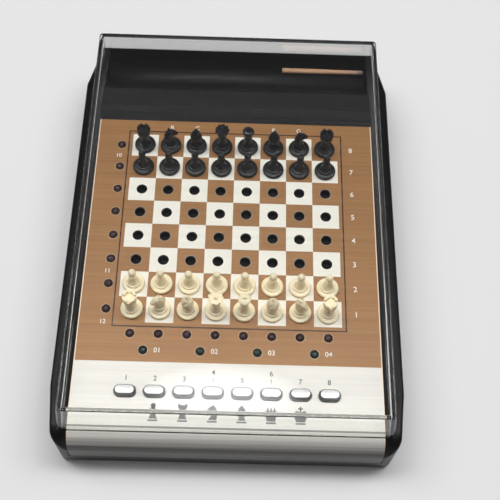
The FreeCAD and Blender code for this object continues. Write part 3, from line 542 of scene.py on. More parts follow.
KEY = key_plating()
STEEL = brushed("contact_nickel_strip", (0.62, 0.61, 0.58), 0.3)
SCREW = brushed("screw_zinc", (0.50, 0.50, 0.51), 0.35, along=900.0)
BRASS = brushed("buzzer_brass_disc", (0.62, 0.42, 0.14), 0.3)
print("metals:", [m.name for m in (KEY, STEEL, SCREW, BRASS)])

# %% [markdown]
# A small stick of bare wood lies in the tray. Its grain could be painted, but fibres are only noise stretched
# along the stick. Its right-hand end is stained in two steps.

# %% Wood
FIBRE_DARK, FIBRE_PALE = (0.52, 0.27, 0.15), (0.86, 0.52, 0.32)
STAINS = [(0.80, (0.60, 0.36, 0.27)), (0.93, (0.36, 0.31, 0.26))]


def bare_wood():
    """Tan wood with fine fibres along X. Each stain starts at a share of the length."""
    f = Finish("stick_bare_wood")
    fibres = f.noise(f.stretched(f.place, (90.0, 2600.0, 2600.0)), 1.0, 4.0)
    low, high = span("wooden_stick")
    along = f.ramp(f.split(f.place)[0], 0.0, 1.0, low[0], high[0])
    colour = f.mix(fibres, FIBRE_DARK, FIBRE_PALE)
    for start, stain in STAINS:
        colour = f.mix(f.math("GREATER_THAN", along, start), colour, stain)
    f.bump(fibres, 0.03 * MM)
    return f.shade(colour, f.ramp(fibres, 0.55, 0.75))


WOOD = bare_wood()
print("finish:", WOOD.name)

# %% [markdown]
# The cover is clear acrylic. Plain glass would leave the inside dark, because the renderer can't find lamps
# through it. So rays that look for light pass straight on. Each wall has a tint of its own, the front the
# darkest.

# %% Clear acrylic
COVER_WALL, REAR_LEAN, WALL_REACH = 2.0 * MM, 7.2 * MM, 1.2
SIDE_TINT, FRONT_TINT = (0.90, 0.925, 0.885), (0.83, 0.825, 0.80)
REAR_TINT, TOP_TINT = (0.985, 0.99, 0.985), (0.994, 0.997, 0.994)
STRAIGHT_TINT = (0.982, 0.986, 0.982)


def clear_acrylic():
    """Glass with faint smears to the eye, and a thin tint to rays that look for lamps."""
    f = Finish("cover_clear_acrylic", IOR=1.49, Transmission_Weight=1.0)
    low, high = span("clear_cover")
    _, y, z = f.split(f.place)
    in_front = f.math("LESS_THAN", y, low[1] + WALL_REACH * COVER_WALL)
    in_rear = f.math("GREATER_THAN", y, high[1] - WALL_REACH * (COVER_WALL + REAR_LEAN))
    wall = f.mix(in_rear, f.mix(in_front, SIDE_TINT, FRONT_TINT), REAR_TINT)
    tint = f.mix(f.math("LESS_THAN", z, high[2] - WALL_REACH * COVER_WALL), TOP_TINT, wall)
    smear = f.noise(f.stretched(f.place, (60.0, 25.0, 60.0)), 1.0, 5.0)
    f.shade(tint, f.ramp(smear, 0.0, 0.04))
    clear = f.node("ShaderNodeBsdfTransparent", {"Color": STRAIGHT_TINT})
    rays = f.node("ShaderNodeLightPath").outputs
    straight = f.math("MAXIMUM", rays["Is Shadow Ray"], rays["Is Diffuse Ray"])
    both = f.node("ShaderNodeMixShader", {0: straight, 1: f.shader.outputs[0], 2: clear.outputs[0]})
    f.feed(f.tree.nodes["Material Output"].inputs["Surface"], both.outputs[0])
    return f.material


ACRYLIC = clear_acrylic()
print("finish:", ACRYLIC.name)

# %% [markdown]
# Solids whose form is right keep it and only need their finish. The case shells and the fascia get a merged
# copy: loose triangles can't shade smoothly, but there the curved faces do, and the real edges stay sharp.

# %% Solids that keep their form
SKIN_WELD, SKIN_CREASE = 0.002 * MM, 25
PLAIN = {
    "peg_guide": GUIDE, "contact_sheet": FILM, "main_board": LAMINATE, "circuit_chips": CHIP, "buzzer": BRASS,
    "batteries": SLEEVE, "battery_contacts": STEEL, "power_switch": FITTING, "power_socket": FITTING,
    "screws": SCREW, "rubber_feet": RUBBER, "battery_door": CASE, "power_knob": FITTING,
}
SKINS = [("upper_case", CASE, "case_black"), ("lower_case", CASE, "case_black"),
         ("fascia_plate", FASCIA, "fascia_aluminium")]

for node, material in PLAIN.items():
    nodes[node].data.materials.clear()
    nodes[node].data.materials.append(material)
print(len(PLAIN), "solids keep their mesh")
for node, material, slot in SKINS:
    mesh = nodes[node].data.copy()
    weld(mesh, SKIN_WELD)
    add_piece(node + "_skin", mesh, material, "case", slot, [node], SKIN_CREASE)

# %% [markdown]
# The clear cover is a tray turned over. A box with Solidify has even walls too, but its rounds would swell.
# Here one ring, a rectangle with round corners, is carried over the outside, under the rim and up the inside.

# %% The clear cover
HAIR = 0.03 * MM
SIDE_LEAN, COVER_CORNER = 2.1 * MM, 1.4 * MM
EDGE_ROUND, EDGE_STEPS = 0.5 * MM, 7
INNER_ROUND, INNER_STEPS = 0.25 * MM, 4


def round_rectangle(half, front, rear, radius):
    """A rectangle's outline with round corners, turning left from the right rear one. One more point a hair
    outside each bend keeps its shading off the flat walls."""
    bend = np.vstack([[(radius, -HAIR)], arc(0, 0, radius, 0, 90, EDGE_STEPS), [(-HAIR, radius)]])
    runs = []
    for i, j, edge in ((1, 1, bend), (-1, 1, bend[::-1]), (-1, -1, bend), (1, -1, bend[::-1])):
        corner = np.array([i * half, rear if j > 0 else front])
        runs.append(corner + (edge - radius) * [i, j])
    return np.concatenate(runs)


def cover_ring(height, inset):
    """The ring at a height, moved in by an inset. The walls lean in evenly from rim to top."""
    low, high = span("clear_cover")
    lean = (height - low[2]) / (high[2] - low[2])
    edge = round_rectangle(high[0] - inset - SIDE_LEAN * lean, low[1] + inset + SIDE_LEAN * lean,
                           high[1] - inset - REAR_LEAN * lean, max(COVER_CORNER - inset, INNER_ROUND))
    return level_ring(edge, height)


def round_rings(height, inset, radius, steps):
    """Rings from the flat top over a round edge to the wall, and one a hair before and after. At angle a the
    ring lies r (1 - cos a) lower and r (1 - sin a) further in."""
    a = np.radians(np.linspace(0, 90, steps))
    drops = np.concatenate([[0], radius * (1 - np.cos(a)), [radius + HAIR]])
    insets = np.concatenate([[radius + HAIR], radius * (1 - np.sin(a)), [0]])
    return [cover_ring(height - d, inset + i) for d, i in zip(drops, insets)]


def cover_grid():
    """Rings from the top's middle over the outside, round the rim and up the inside."""
    low, high = span("clear_cover")
    outside = round_rings(high[2], 0, EDGE_ROUND, EDGE_STEPS)
    inside = round_rings(high[2] - COVER_WALL, COVER_WALL, INNER_ROUND, INNER_STEPS)
    rim = [(HAIR + INNER_ROUND, 0), (INNER_ROUND, 0), (0, INNER_ROUND), (0, INNER_ROUND + HAIR)]
    rim += [(rise, COVER_WALL - inset) for rise, inset in rim[::-1]]
    rings = outside + [cover_ring(low[2] + rise, inset) for rise, inset in rim] + inside[::-1]
    start, end = (np.broadcast_to(ring.mean(0), ring.shape) for ring in (outside[0], inside[0]))
    return np.stack([start, *rings, end])[::-1]


add_grids("clear_cover_shell", [cover_grid()], ACRYLIC, "clear_cover", "cover_clear", ["clear_cover"], 50)

# %% [markdown]
# The lamps are small domes on a short barrel. Scaled spheres would do from afar, but a turned profile keeps
# the edge of the dome true. The solids' highest points say where the lamps stand.

# %% Lamps
TIP_DEPTH = 0.001 * MM


def solid_points(node):
    """The points of a solid's mesh, a row for each."""
    vertices = nodes[node].data.vertices
    points = np.empty(len(vertices) * 3)
    vertices.foreach_get("co", points)
    return points.reshape(-1, 3)


def lamp_places(node):
    """The centres of a node's domes: the places of its highest points."""
    points = solid_points(node)
    tips = points[points[:, 2] > points[:, 2].max() - TIP_DEPTH][:, :2]
    return np.unique(np.round(tips, 5), axis=0)


def dome_grid(x, y, foot, radius, top):
    """A barrel from the board with a half ball on it, turned about its own axis."""
    profile = np.vstack([[(0, foot), (radius, foot)], arc(0, top - radius, radius, 0, 90, 9)])
    return turned(profile, ring_angles(28)) + [x, y, 0]


for node, material, slot in (("red_leds", RED, "lamp_red"), ("green_leds", GREEN, "lamp_green")):
    low, high = span(node)
    grids = [dome_grid(x, y, low[2], LAMP / 2, high[2]) for x, y in lamp_places(node)]
    add_grids(node + "_domes", grids, material, "case", slot, [node])

# %% [markdown]
# Each key is a pill-shaped cap with a bevelled top, a hidden flange and a round stem. A box with a Bevel
# modifier could do, but the bevels would meet badly at the ends. Stacked rings of one outline don't.

# %% Keys
KEY_CAP = (8.4 * MM, 4.6 * MM)
KEY_FLANGE, FLANGE_THICK, FLANGE_DEPTH = 0.9 * MM, 0.8 * MM, 0.925 * MM
BEVEL_DROP, BEVEL_STEP = 1.3 * MM, 0.65 * MM
BEVEL_CURVE = [(1.0, 0.0), (0.85, 0.05), (0.15, 0.84), (0.05, 0.95), (0.0, 1.15)]
STEM_RADIUS, STEM_BEVEL = 1.65 * MM, 0.15 * MM


def pill_ring(length, width, height, inset):
    """A pill's outline, moved in by an inset: two half rounds with straight sides between."""
    right = arc((length - width) / 2, 0, width / 2 - inset, -90, 90, 14)
    return level_ring(np.concatenate([right, -right]), height)


def key_grids(low, high):
    """The flange, the cap with its bevel and a top closed on its middle line, and the stem."""
    foot, top = low[2], high[2]
    collar = DECK - FLANGE_DEPTH
    under = collar - FLANGE_THICK
    closed = KEY_CAP[1] / 2
    rows = [(under, closed), (under, -KEY_FLANGE), (collar, -KEY_FLANGE), (collar, 0)]
    rows += [(top - down * BEVEL_DROP, inward * BEVEL_STEP) for down, inward in BEVEL_CURVE] + [(top, closed)]
    cap = np.stack([pill_ring(*KEY_CAP, height, inset) for height, inset in rows])
    stem = turned([(0, foot), (STEM_RADIUS - STEM_BEVEL, foot), (STEM_RADIUS, foot + STEM_BEVEL),
                   (STEM_RADIUS, under), (0, under)], ring_angles(24))
    centre = [*((low + high) / 2)[:2], 0]
    return [cap + centre, stem + centre]


for number in range(1, 9):
    node = f"key_{number}"
    add_grids(node + "_cap", key_grids(*span(node)), KEY, node, "key_chrome", [node], 40)

# %% [markdown]
# The pieces share one foot: a peg, a disc with a round rim, a step and a stem. It could be put together from
# cylinders, but a lathe profile of (radius, height) holds it all in one list, counted in base widths.

# %% The foot of a piece
PIECE_GAP = 0.2 * MM
SEAT = DECK + PIECE_GAP
BASE = np.ptp(span("white_pawn_a2"), axis=0)[0]
PEG = (SEAT - span("white_pawn_a2")[0][2]) / BASE


def foot_profile(neck, neck_height):
    """Peg, base with a round rim, step ring and a hollow stem up to the neck."""
    waist = ((neck + 0.19) / 2 - 0.008, (0.40 + neck_height) / 2)
    stem = smooth([(0.262, 0.30), (0.205, 0.40), waist, (neck, neck_height)], 12)
    return np.vstack([
        [(0, -PEG), (0.155, -PEG), (0.182, 0.04 - PEG), (0.182, 0), (0.472, 0)],
        arc(0.472, 0.028, 0.028, -90, 0, 4), arc(0.440, 0.090, 0.060, 0, 90, 7),
        [(0.345, 0.168)], arc(0.345, 0.188, 0.020, -90, -180, 4), [(0.325, 0.262)],
        arc(0.317, 0.262, 0.008, 0, 90, 3), [(0.270, 0.278)], stem])


print(f"base {BASE / MM:.2f} mm wide, peg {PEG * BASE / MM:.2f} mm long")

# %% [markdown]
# A head is the upper end of the same profile. It could be a solid set on the stem, but one unbroken profile
# leaves no seam. From the whole height t, each function gives the neck's radius and height and what is above.

# %% Heads of the turned pieces
TOWER_FLOOR = 0.90


def pawn_head(t):
    """A collar and a ball."""
    return 0.125, 0.60 * t, np.vstack([
        [(0.165, 0.617 * t)], arc(0.165, 0.632 * t, 0.015 * t, -90, 90, 6), [(0.125, 0.668 * t)],
        arc(0, t - 0.165, 0.165, -48, 90, 18)])


def rook_head(t):
    """A flared tower with a sunk floor."""
    return 0.17, 0.58 * t, np.array([
        (0.20, 0.61 * t), (0.24, 0.655 * t), (0.29, 0.685 * t), (0.30, 0.70 * t), (0.32, 0.985 * t),
        (0.31, t), (0.205, t), (0.195, 0.99 * t), (0.19, TOWER_FLOOR * t), (0, TOWER_FLOOR * t)])


def bishop_head(t):
    """A collar, a mitre and a small ball."""
    mitre = smooth([(0.24, 0.475 * t), (0.28, 0.54 * t), (0.265, 0.66 * t), (0.175, 0.81 * t),
                    (0.062, 0.89 * t)], 46)
    return 0.155, 0.41 * t, np.vstack([
        [(0.20, 0.425 * t)], arc(0.215, 0.445 * t, 0.018 * t, -90, 90, 6), [(0.19, 0.47 * t)], mitre,
        arc(0, t - 0.07, 0.07, -60, 90, 12)])


def queen_head(t):
    """A flared crown with a ball in its middle."""
    flare = smooth([(0.185, 0.67 * t), (0.215, 0.75 * t), (0.285, 0.86 * t), (0.345, 0.935 * t)], 12)
    return 0.148, 0.60 * t, np.vstack([
        [(0.185, 0.615 * t), (0.20, 0.635 * t), (0.185, 0.66 * t)], flare,
        [(0.352, 0.95 * t), (0.345, 0.968 * t), (0.315, 0.968 * t), (0.29, 0.945 * t), (0.10, 0.955 * t)],
        arc(0, t - 0.075, 0.075, -20, 90, 8)])


def king_head(t):
    """A bowl with a low lid, which carries the cross."""
    bowl = smooth([(0.185, 0.64 * t), (0.205, 0.71 * t), (0.245, 0.80 * t), (0.278, 0.85 * t)], 10)
    return 0.155, 0.57 * t, np.vstack([
        [(0.195, 0.585 * t), (0.205, 0.605 * t), (0.185, 0.63 * t)], bowl,
        [(0.283, 0.862 * t), (0.278, 0.875 * t), (0.255, 0.89 * t), (0.16, 0.905 * t), (0.085, 0.92 * t),
         (0, 0.92 * t)]])


HEADS = {"pawn": pawn_head, "rook": rook_head, "bishop": bishop_head, "queen": queen_head, "king": king_head}
print("turned heads:", *HEADS)

# %% [markdown]
# The rook has battlements, the queen a scalloped rim and the bishop a slit. Booleans could cut them and would
# leave ragged faces. Here the turned grid is bent: each is a rule on the angle and the height.

# %% Notches, scallops and a slit
QUARTER = math.pi / 2
NOTCH, NOTCH_WALL = math.radians(12), math.radians(0.4)
SCALLOPS, SCALLOP_DEPTH = 9, 0.20
SLIT_LEAN, SLIT_BEARING = math.radians(52), math.radians(-40)
SLIT_HEIGHT, SLIT_WIDTH, SLIT_DEPTH = 0.675, 0.032, 0.45


def rook_angles():
    """Columns bunched at the sides of four notches, so that their walls stand upright."""
    notch = np.linspace(-NOTCH, NOTCH, 5)
    merlon = np.linspace(NOTCH + NOTCH_WALL, QUARTER - NOTCH - NOTCH_WALL, 11)
    return np.concatenate([np.concatenate([notch, merlon]) + k * QUARTER for k in range(4)])


def cut_notches(grid, angles, tall):
    """In four notches no point stands higher than the tower's floor."""
    in_notch = np.abs((angles + QUARTER / 2) % QUARTER - QUARTER / 2) < NOTCH + NOTCH_WALL / 2
    grid[..., 2] = np.minimum(grid[..., 2], np.where(in_notch, TOWER_FLOOR * tall, np.inf))


def press_scallops(grid, profile, angles, tall):
    """The radius shrinks by up to a fifth where |cos(n a / 2)| is small, most at the rim."""
    r, z = profile.T
    dip = (1 - np.abs(np.cos(SCALLOPS / 2 * angles))) ** 1.3
    at_rim = np.clip((z - 0.80 * tall) / (0.14 * tall), 0, 1) * np.clip((r - 0.2) / 0.1, 0, 1)
    grid[..., :2] *= (1 - SCALLOP_DEPTH * np.outer(at_rim, dip))[..., None]


def cut_slit(grid, profile, tall):
    """The radius shrinks near a leaning plane on one side of the mitre: the closer to it, the more."""
    out = grid[..., 0] * math.cos(SLIT_BEARING) + grid[..., 1] * math.sin(SLIT_BEARING)
    off_plane = out * math.sin(SLIT_LEAN) - (grid[..., 2] - SLIT_HEIGHT * tall) * math.cos(SLIT_LEAN)
    in_mitre = (profile[:, 1] > 0.5 * tall)[:, None]
    cut = np.clip(1.4 - np.abs(off_plane) / SLIT_WIDTH, 0, 1) * (out > 0) * in_mitre
    grid[..., :2] *= (1 - SLIT_DEPTH * cut)[..., None]


def turned_piece(kind, tall):
    """The whole piece as one closed grid, in base widths, standing on height 0."""
    neck, neck_height, head = HEADS[kind](tall)
    profile = np.vstack([foot_profile(neck, neck_height), head])
    angles = rook_angles() if kind == "rook" else ring_angles(108 if kind == "queen" else 56)
    grid = turned(profile, angles)
    if kind == "rook":
        cut_notches(grid, angles, tall)
    if kind == "queen":
        press_scallops(grid, profile, angles, tall)
    if kind == "bishop":
        cut_slit(grid, profile, tall)
    return grid


print(len(rook_angles()), "columns round a rook")

# %% [markdown]
# The king's cross can't be turned. Two boxes would do, but their edges would be sharp. Its post and arm are
# balls pulled square, which have soft edges of their own.

# %% The king's cross
SQUARENESS = 0.25


def squared(value, power):
    """A sine or cosine raised to a power below 1 with its sign kept, which flattens a round's sides."""
    return np.sign(value) * np.abs(value) ** power


def cross_grids(tall):
    """A post and an arm: (cos u cos v, cos u sin v, sin u), each factor squared, then scaled and lifted."""
    u = np.radians(np.linspace(-90, 90, 13))[:, None]
    v = ring_angles(24)[None, :]
    factors = np.cos(u), np.sin(u), np.cos(v), np.sin(v)
    across, up, right, rear = (squared(factor, SQUARENESS) for factor in factors)
    ball = np.stack([across * right, across * rear, up * np.ones_like(v)], -1)
    post = ball * [0.045, 0.045, 0.055 * tall] + [0, 0, 0.945 * tall]
    arm = ball * [0.105, 0.044, 0.018 * tall] + [0, 0, 0.955 * tall]
    return [post, arm]


print("cross of", len(cross_grids(1.0)), "bars")

# %% [markdown]
# The horse is not turned. Sculpting by hand would look livelier, but ovals between two rails, from chest to
# chin and from back to nose, say its shape in a few numbers that can be changed later.

# %% The knight
CHEST_RAIL = [(0.22, 0.30), (0.19, 0.40), (0.145, 0.52), (0.13, 0.61), (0.20, 0.60), (0.30, 0.575),
              (0.365, 0.60)]
BACK_RAIL = [(-0.20, 0.30), (-0.275, 0.44), (-0.30, 0.61), (-0.245, 0.79), (-0.07, 0.915), (0.16, 0.87),
             (0.385, 0.675)]
HEAD_WIDTH = [[0.20], [0.185], [0.17], [0.165], [0.16], [0.125], [0.08]]
HEAD_RINGS, MANE_WAVES, MANE_DEPTH = 44, 7.5, 0.08
NECK, NECK_HEIGHT = 0.235, 0.33
EAR = [(0, 0), (0.052, 0), (0.048, 0.045), (0.022, 0.11), (0, 0.135)]


def horse_head(tall):
    """Oval rings: centre + half span * cos a between the rails, and width * sin a across. At the back, where
    cos a is large, the rings are narrower, and each rises or falls as a mane."""
    front, back = (smooth(rail, HEAD_RINGS) * [1, tall] for rail in (CHEST_RAIL, BACK_RAIL))
    centre, half = ((front + back) / 2)[:, None], ((back - front) / 2)[:, None]
    a = ring_angles(40)
    wave = np.sin(np.linspace(0, MANE_WAVES * 2 * np.pi, HEAD_RINGS))
    mane = 1 + MANE_DEPTH * np.outer(wave, np.cos(a) > 0.75)
    ring = centre + half * (squared(np.cos(a), 0.8) * mane)[..., None]
    across = smooth(HEAD_WIDTH, HEAD_RINGS) * np.sin(a) * np.where(np.cos(a) > 0.6, 0.55, 1.0)
    head = np.stack([ring[..., 0], across, ring[..., 1]], -1)
    start, end = (np.broadcast_to(head[k].mean(0), head[k].shape)[None] for k in (0, -1))
    return np.concatenate([start, head, end])


def horse_grids(tall):
    """The turned foot, the head, two ears and two eyes."""
    foot = np.vstack([foot_profile(NECK, NECK_HEIGHT * tall), [(0, NECK_HEIGHT * tall)]])
    ear = turned(EAR, ring_angles(12))
    eye = turned(arc(0, 0, 0.032, -90, 90, 7), ring_angles(10))
    ears = [ear + [-0.03, side * 0.075, 0.895 * tall] for side in (-1, 1)]
    eyes = [eye + [0.09, side * 0.132, 0.79 * tall] for side in (-1, 1)]
    return [turned(foot, ring_angles(56)), horse_head(tall)] + ears + eyes


print("knight of", len(horse_grids(1.0)), "grids")

# %% [markdown]
# Sixteen ivory and sixteen black pieces stand on their first squares. They could be placed one by one, but a
# name such as white_rook_a1 says colour, kind and square, so a loop can do it.

# %% Set up both sides
FILES = "abcdefgh"
BACK_RANK = ["rook", "knight", "bishop", "queen", "king", "bishop", "knight", "rook"]
SIDES = [("white", IVORY, "piece_ivory", (1, 2)), ("black", EBONY, "piece_black", (8, 7))]


def square_middle(index):
    """The middle of a file or a rank, which are counted from 0."""
    return (index - 3.5) * SQUARE


def muzzle_angle(node, spot):
    """Where a horse looks: the bearing of its solid's farthest point above the foot."""
    away = solid_points(node) - spot
    upper = away[away[:, 2] > 0.5 * BASE]
    x, y, _ = upper[np.argmax(np.hypot(upper[:, 0], upper[:, 1]))]
    return math.atan2(y, x)


def turn(grid, angle):
    """A grid turned about the upright axis: (x cos a - y sin a, x sin a + y cos a, z)."""
    x, y, z = np.moveaxis(grid, -1, 0)
    c, s = math.cos(angle), math.sin(angle)
    return np.stack([x * c - y * s, x * s + y * c, z], -1)


def piece_grids(node, kind, spot):
    """A piece's grids at its solid's height and place. A knight looks where its solid does."""
    tall = (span(node)[1][2] - SEAT) / BASE
    if kind == "knight":
        grids = [turn(grid, muzzle_angle(node, spot)) for grid in horse_grids(tall)]
    else:
        grids = [turned_piece(kind, tall)] + (cross_grids(tall) if kind == "king" else [])
    return [grid * BASE + spot for grid in grids]


for side, material, slot, ranks in SIDES:
    for rank, kinds in zip(ranks, (BACK_RANK, ["pawn"] * 8)):
        for i, kind in enumerate(kinds):
            node = f"{side}_{kind}_{FILES[i]}{rank}"
            spot = np.array([square_middle(i), square_middle(rank - 1), SEAT])
            add_grids(node + "_figure", piece_grids(node, kind, spot), material, node, slot, [node], 38)

# %% [markdown]
# The stick in the tray was whittled. A plain cone would be too perfect, so its outline wanders a little: slow
# waves on the radius, along its length.

# %% The wooden stick
TAPER = 0.19
WAVE, WAVE_SPEED, WAVE_START = 0.03, 9.0, 1.3
END_ROUND, END_LENGTH = 0.8, 0.008


def stick_grid():
    """A round bar along X. With t from 0 to 1 its radius is
    R (1 - taper t) (1 - wave (1 + sin(speed t + start)))."""
    low, high = span("wooden_stick")
    t = np.linspace(0, 1, 40)
    wave = 1 - WAVE * (1 + np.sin(WAVE_SPEED * t + WAVE_START))
    radius = (high[2] - low[2]) / 2 * (1 - TAPER * t) * wave
    radius = np.concatenate([[0, END_ROUND * radius[0]], radius, [END_ROUND * radius[-1], 0]])
    t = np.concatenate([[0, 0], np.clip(t, END_LENGTH, 1 - END_LENGTH), [1, 1]])
    a = ring_angles(20)
    x = np.repeat((low[0] + (high[0] - low[0]) * t)[:, None], len(a), 1)
    y, z = ((low + high) / 2)[1:]
    return np.stack([x, y + np.outer(radius, np.cos(a)), z + np.outer(radius, np.sin(a))], -1)


add_grids("wooden_stick_bar", [stick_grid()], WOOD, "wooden_stick", "stick_wood", ["wooden_stick"], 50)

# %% [markdown]
# Squares, lamps and keys have plain numbers and letters. Text objects would do in a picture, but a mesh
# travels better, so each label becomes a thin mesh that lies on the sheet.

# %% Labels become thin meshes
INK = 0.02 * MM
CAPITAL, STROKE = 0.7, 0.012


def label(text, x, y, height):
    """A label's mesh, centred on a place on the fascia. Its strokes grow by a share of the height."""
    curve = bpy.data.curves.new("label", "FONT")
    curve.body = text
    curve.size = height / CAPITAL
    curve.align_x = "CENTER"
    curve.align_y = "CENTER"
    curve.extrude = INK / 2
    curve.offset = STROKE * height
    curve.resolution_u = 4
    holder = bpy.data.objects.new("label", curve)
    mesh = bpy.data.meshes.new_from_object(holder)
    mesh.transform(Matrix.Translation((x, y, DECK + INK / 2)))
    bpy.data.objects.remove(holder)
    bpy.data.curves.remove(curve)
    return mesh


def plate(outline):
    """A flat shape's mesh: an outline of (x, y) on the fascia, the same INK higher, and a wall between."""
    count = len(outline)
    points = np.concatenate([level_ring(outline, DECK), level_ring(outline, DECK + INK)])
    top, bottom = np.arange(count, 2 * count), np.arange(count)[::-1]
    faces = [top.tolist(), bottom.tolist(), *grid_faces(2, count, 0).tolist()]
    mesh = bpy.data.meshes.new("plate")
    mesh.from_pydata(points.tolist(), [], faces)
    return mesh


def add_print(name, meshes, material):
    """Joins labels and plates into one piece on the case."""
    work = bmesh.new()
    for mesh in meshes:
        work.from_mesh(mesh)
        bpy.data.meshes.remove(mesh)
    bmesh.ops.recalc_face_normals(work, faces=work.faces)
    joined = bpy.data.meshes.new(name)
    work.to_mesh(joined)
    work.free()
    add_piece(name, joined, material, "case", "fascia_aluminium")


print("label tools ready")

# %% [markdown]
# White print stands beside the board and the lamps. Each label could be a piece of its own, but ink of one
# colour is printed in one go, so all of it is one piece.

# %% White print on the board
RANK_COLUMN, FILE_ROW, LAMP_COLUMN = 4.52 * SQUARE, 4.36 * SQUARE, -4.5 * SQUARE
RANK_TEXT, TEXT, LAMP_TEXT = 2.3 * MM, 2.0 * MM, 1.8 * MM
FORE_PLACES, LAMP_PLACES = (-2.5, -0.5, 1.5, 3.5), (3.0, -2.0, -4.0)

labels = []
for i, letter in enumerate(FILES.upper()):
    labels.append(label(str(i + 1), RANK_COLUMN, square_middle(i), RANK_TEXT))
    labels.append(label(letter, square_middle(i), FILE_ROW, TEXT))
for i, place in enumerate(FORE_PLACES, 1):
    labels.append(label(f"0{i}", place * SQUARE, middle("green_leds")[1], TEXT))
for i, place in enumerate(LAMP_PLACES):
    labels.append(label(f"1{i}", LAMP_COLUMN, place * SQUARE, LAMP_TEXT))
add_print("white_print", labels, WHITE_INK)

# %% [markdown]
# Under six keys stand small signs of the six kinds of piece. They could be drawn freely, but the heads'
# profiles are at hand: a profile and its mirror image make a sign.

# %% Signs of the pieces
SIGN_BAR, SIGN_FOOT = 0.12, 0.18
BAR_HALF, FOOT_HALF = 0.34, 0.28
CROWN_HALF, CROWN_LOW, CROWN_HIGH, CROWN_POINTS = 0.46, 0.58, 0.92, 9
HORSE_SIGN = np.array([
    (-0.26, SIGN_FOOT), (0.30, SIGN_FOOT), (0.36, 0.45), (0.28, 0.75), (0.12, 0.90), (0.08, 1.0),
    (-0.02, 0.90), (-0.20, 0.80), (-0.42, 0.58), (-0.38, 0.46), (-0.28, 0.46), (-0.10, 0.56), (-0.04, 0.50),
    (-0.16, 0.34)])


def block(left, right, low, high):
    """A rectangle's outline."""
    return np.array([(left, low), (right, low), (right, high), (left, high)])


def sign_outlines(kind):
    """A piece's sign, one unit high, on a bar at height 0: its side view, a horse's head, or a crown."""
    bar = block(-BAR_HALF, BAR_HALF, 0, SIGN_BAR)
    foot = [(-FOOT_HALF, SIGN_FOOT), (FOOT_HALF, SIGN_FOOT)]
    if kind == "queen":
        x = np.linspace(CROWN_HALF, -CROWN_HALF, CROWN_POINTS)
        rim = np.stack([x, np.where(np.arange(CROWN_POINTS) % 2, CROWN_LOW, CROWN_HIGH)], -1)
        return [bar, np.vstack([foot, rim])]
    if kind == "king":
        bowl = np.array([*foot, (0.48, 0.56), (0.28, 0.70), (0, 0.60), (-0.28, 0.70), (-0.48, 0.56)])
        arms = [block(x, x + 0.11, 0.80, 0.89) for x in (0.05, -0.16)]
        return [bar, bowl, block(-0.045, 0.045, 0.62, 1), *arms]
    if kind == "knight":
        return [bar, HORSE_SIGN]
    neck, neck_height, head = HEADS[kind](1.0)
    right = np.vstack([foot[1:], [(neck, neck_height)], head[:-1]])
    return [bar, np.vstack([right, right[::-1] * [-1, 1]])]


print("a king's sign has", len(sign_outlines("king")), "outlines")

# %% [markdown]
# Dark print stands round the keys: numbers above, two of them raised over a tick, and signs below. The places
# could be typed in, but the keys' row and the squares' middles give them all.

# %% Dark print round the keys
KEY_ROW = middle("key_1")[1]
NUMBER_RISE, RAISED_BY, RAISED = 5.2 * MM, 2.9 * MM, (4, 6)
TICK = block(-0.12 * MM, 0.12 * MM, -0.8 * MM, 0.8 * MM)
SIGN_HEIGHT, SIGN_DROP = 5.5 * MM, 9.95 * MM

labels = []
for i in range(8):
    x, y = square_middle(i), KEY_ROW + NUMBER_RISE
    if i + 1 in RAISED:
        labels.append(plate(TICK + [x, y]))
        y += RAISED_BY
    labels.append(label(str(i + 1), x, y, TEXT))
for i, kind in enumerate(("pawn", "rook", "knight", "bishop", "queen", "king"), 1):
    place = [square_middle(i), KEY_ROW - SIGN_DROP]
    labels += [plate(outline * SIGN_HEIGHT + place) for outline in sign_outlines(kind)]
add_print("dark_print", labels, DARK_INK)

# %% [markdown]
# The stage is pale paper. More lamps could light all of it, but would bleach the object. So the far paper has
# a glow of its own, which shows to the eye, in mirrors and through glass, and lights nothing.

# %% Floor
PALE = 0.75
GLOW_START, GLOW_END = 0.3, 1.5
PAPER_DULL, PAPER_BRIGHT = (0.81, 0.81, 0.81), (0.84, 0.84, 0.835)
FLOOR_REACH = 20.0


def looked_at(wiring):
    """1 for a ray that shows what it meets: straight to the camera, in a mirror or through glass."""
    rays = wiring.node("ShaderNodeLightPath").outputs
    mirror_or_glass = wiring.math("MAXIMUM", rays["Is Glossy Ray"], rays["Is Transmission Ray"])
    return wiring.math("MAXIMUM", rays["Is Camera Ray"], mirror_or_glass)


def pale_paper():
    """Paper with faint clouds. Far from the lamps it glows for the eye alone, from 0 up to PALE."""
    f = Finish("floor_pale_paper", Emission_Strength=1.0)
    away = f.node("ShaderNodeVectorMath", {0: f.place}, operation="LENGTH").outputs["Value"]
    glow = f.times(f.ramp(away, 0.0, PALE, GLOW_START, GLOW_END), looked_at(f))
    grey = f.node("ShaderNodeCombineColor", {0: glow, 1: glow, 2: glow}).outputs[0]
    f.feed(f.shader.inputs["Emission Color"], grey)
    return f.shade(f.mix(f.noise(f.place, 3.0, 2.0), PAPER_DULL, PAPER_BRIGHT), 0.9)


corners = level_ring(block(-FLOOR_REACH, FLOOR_REACH, -FLOOR_REACH, FLOOR_REACH), 0)
mesh = bpy.data.meshes.new("floor")
mesh.from_pydata(corners.tolist(), [], [(0, 1, 2, 3)])
mesh.materials.append(pale_paper())
floor = add_object("floor", mesh)
print("floor of", mesh.materials[0].name)

# %% [markdown]
# Four soft lamps light the set at a plain level. One large lamp would be simpler, but the cover's flat top
# mirrors a part of the ceiling to the camera. The lamps hang outside that part, so the board shows clearly.

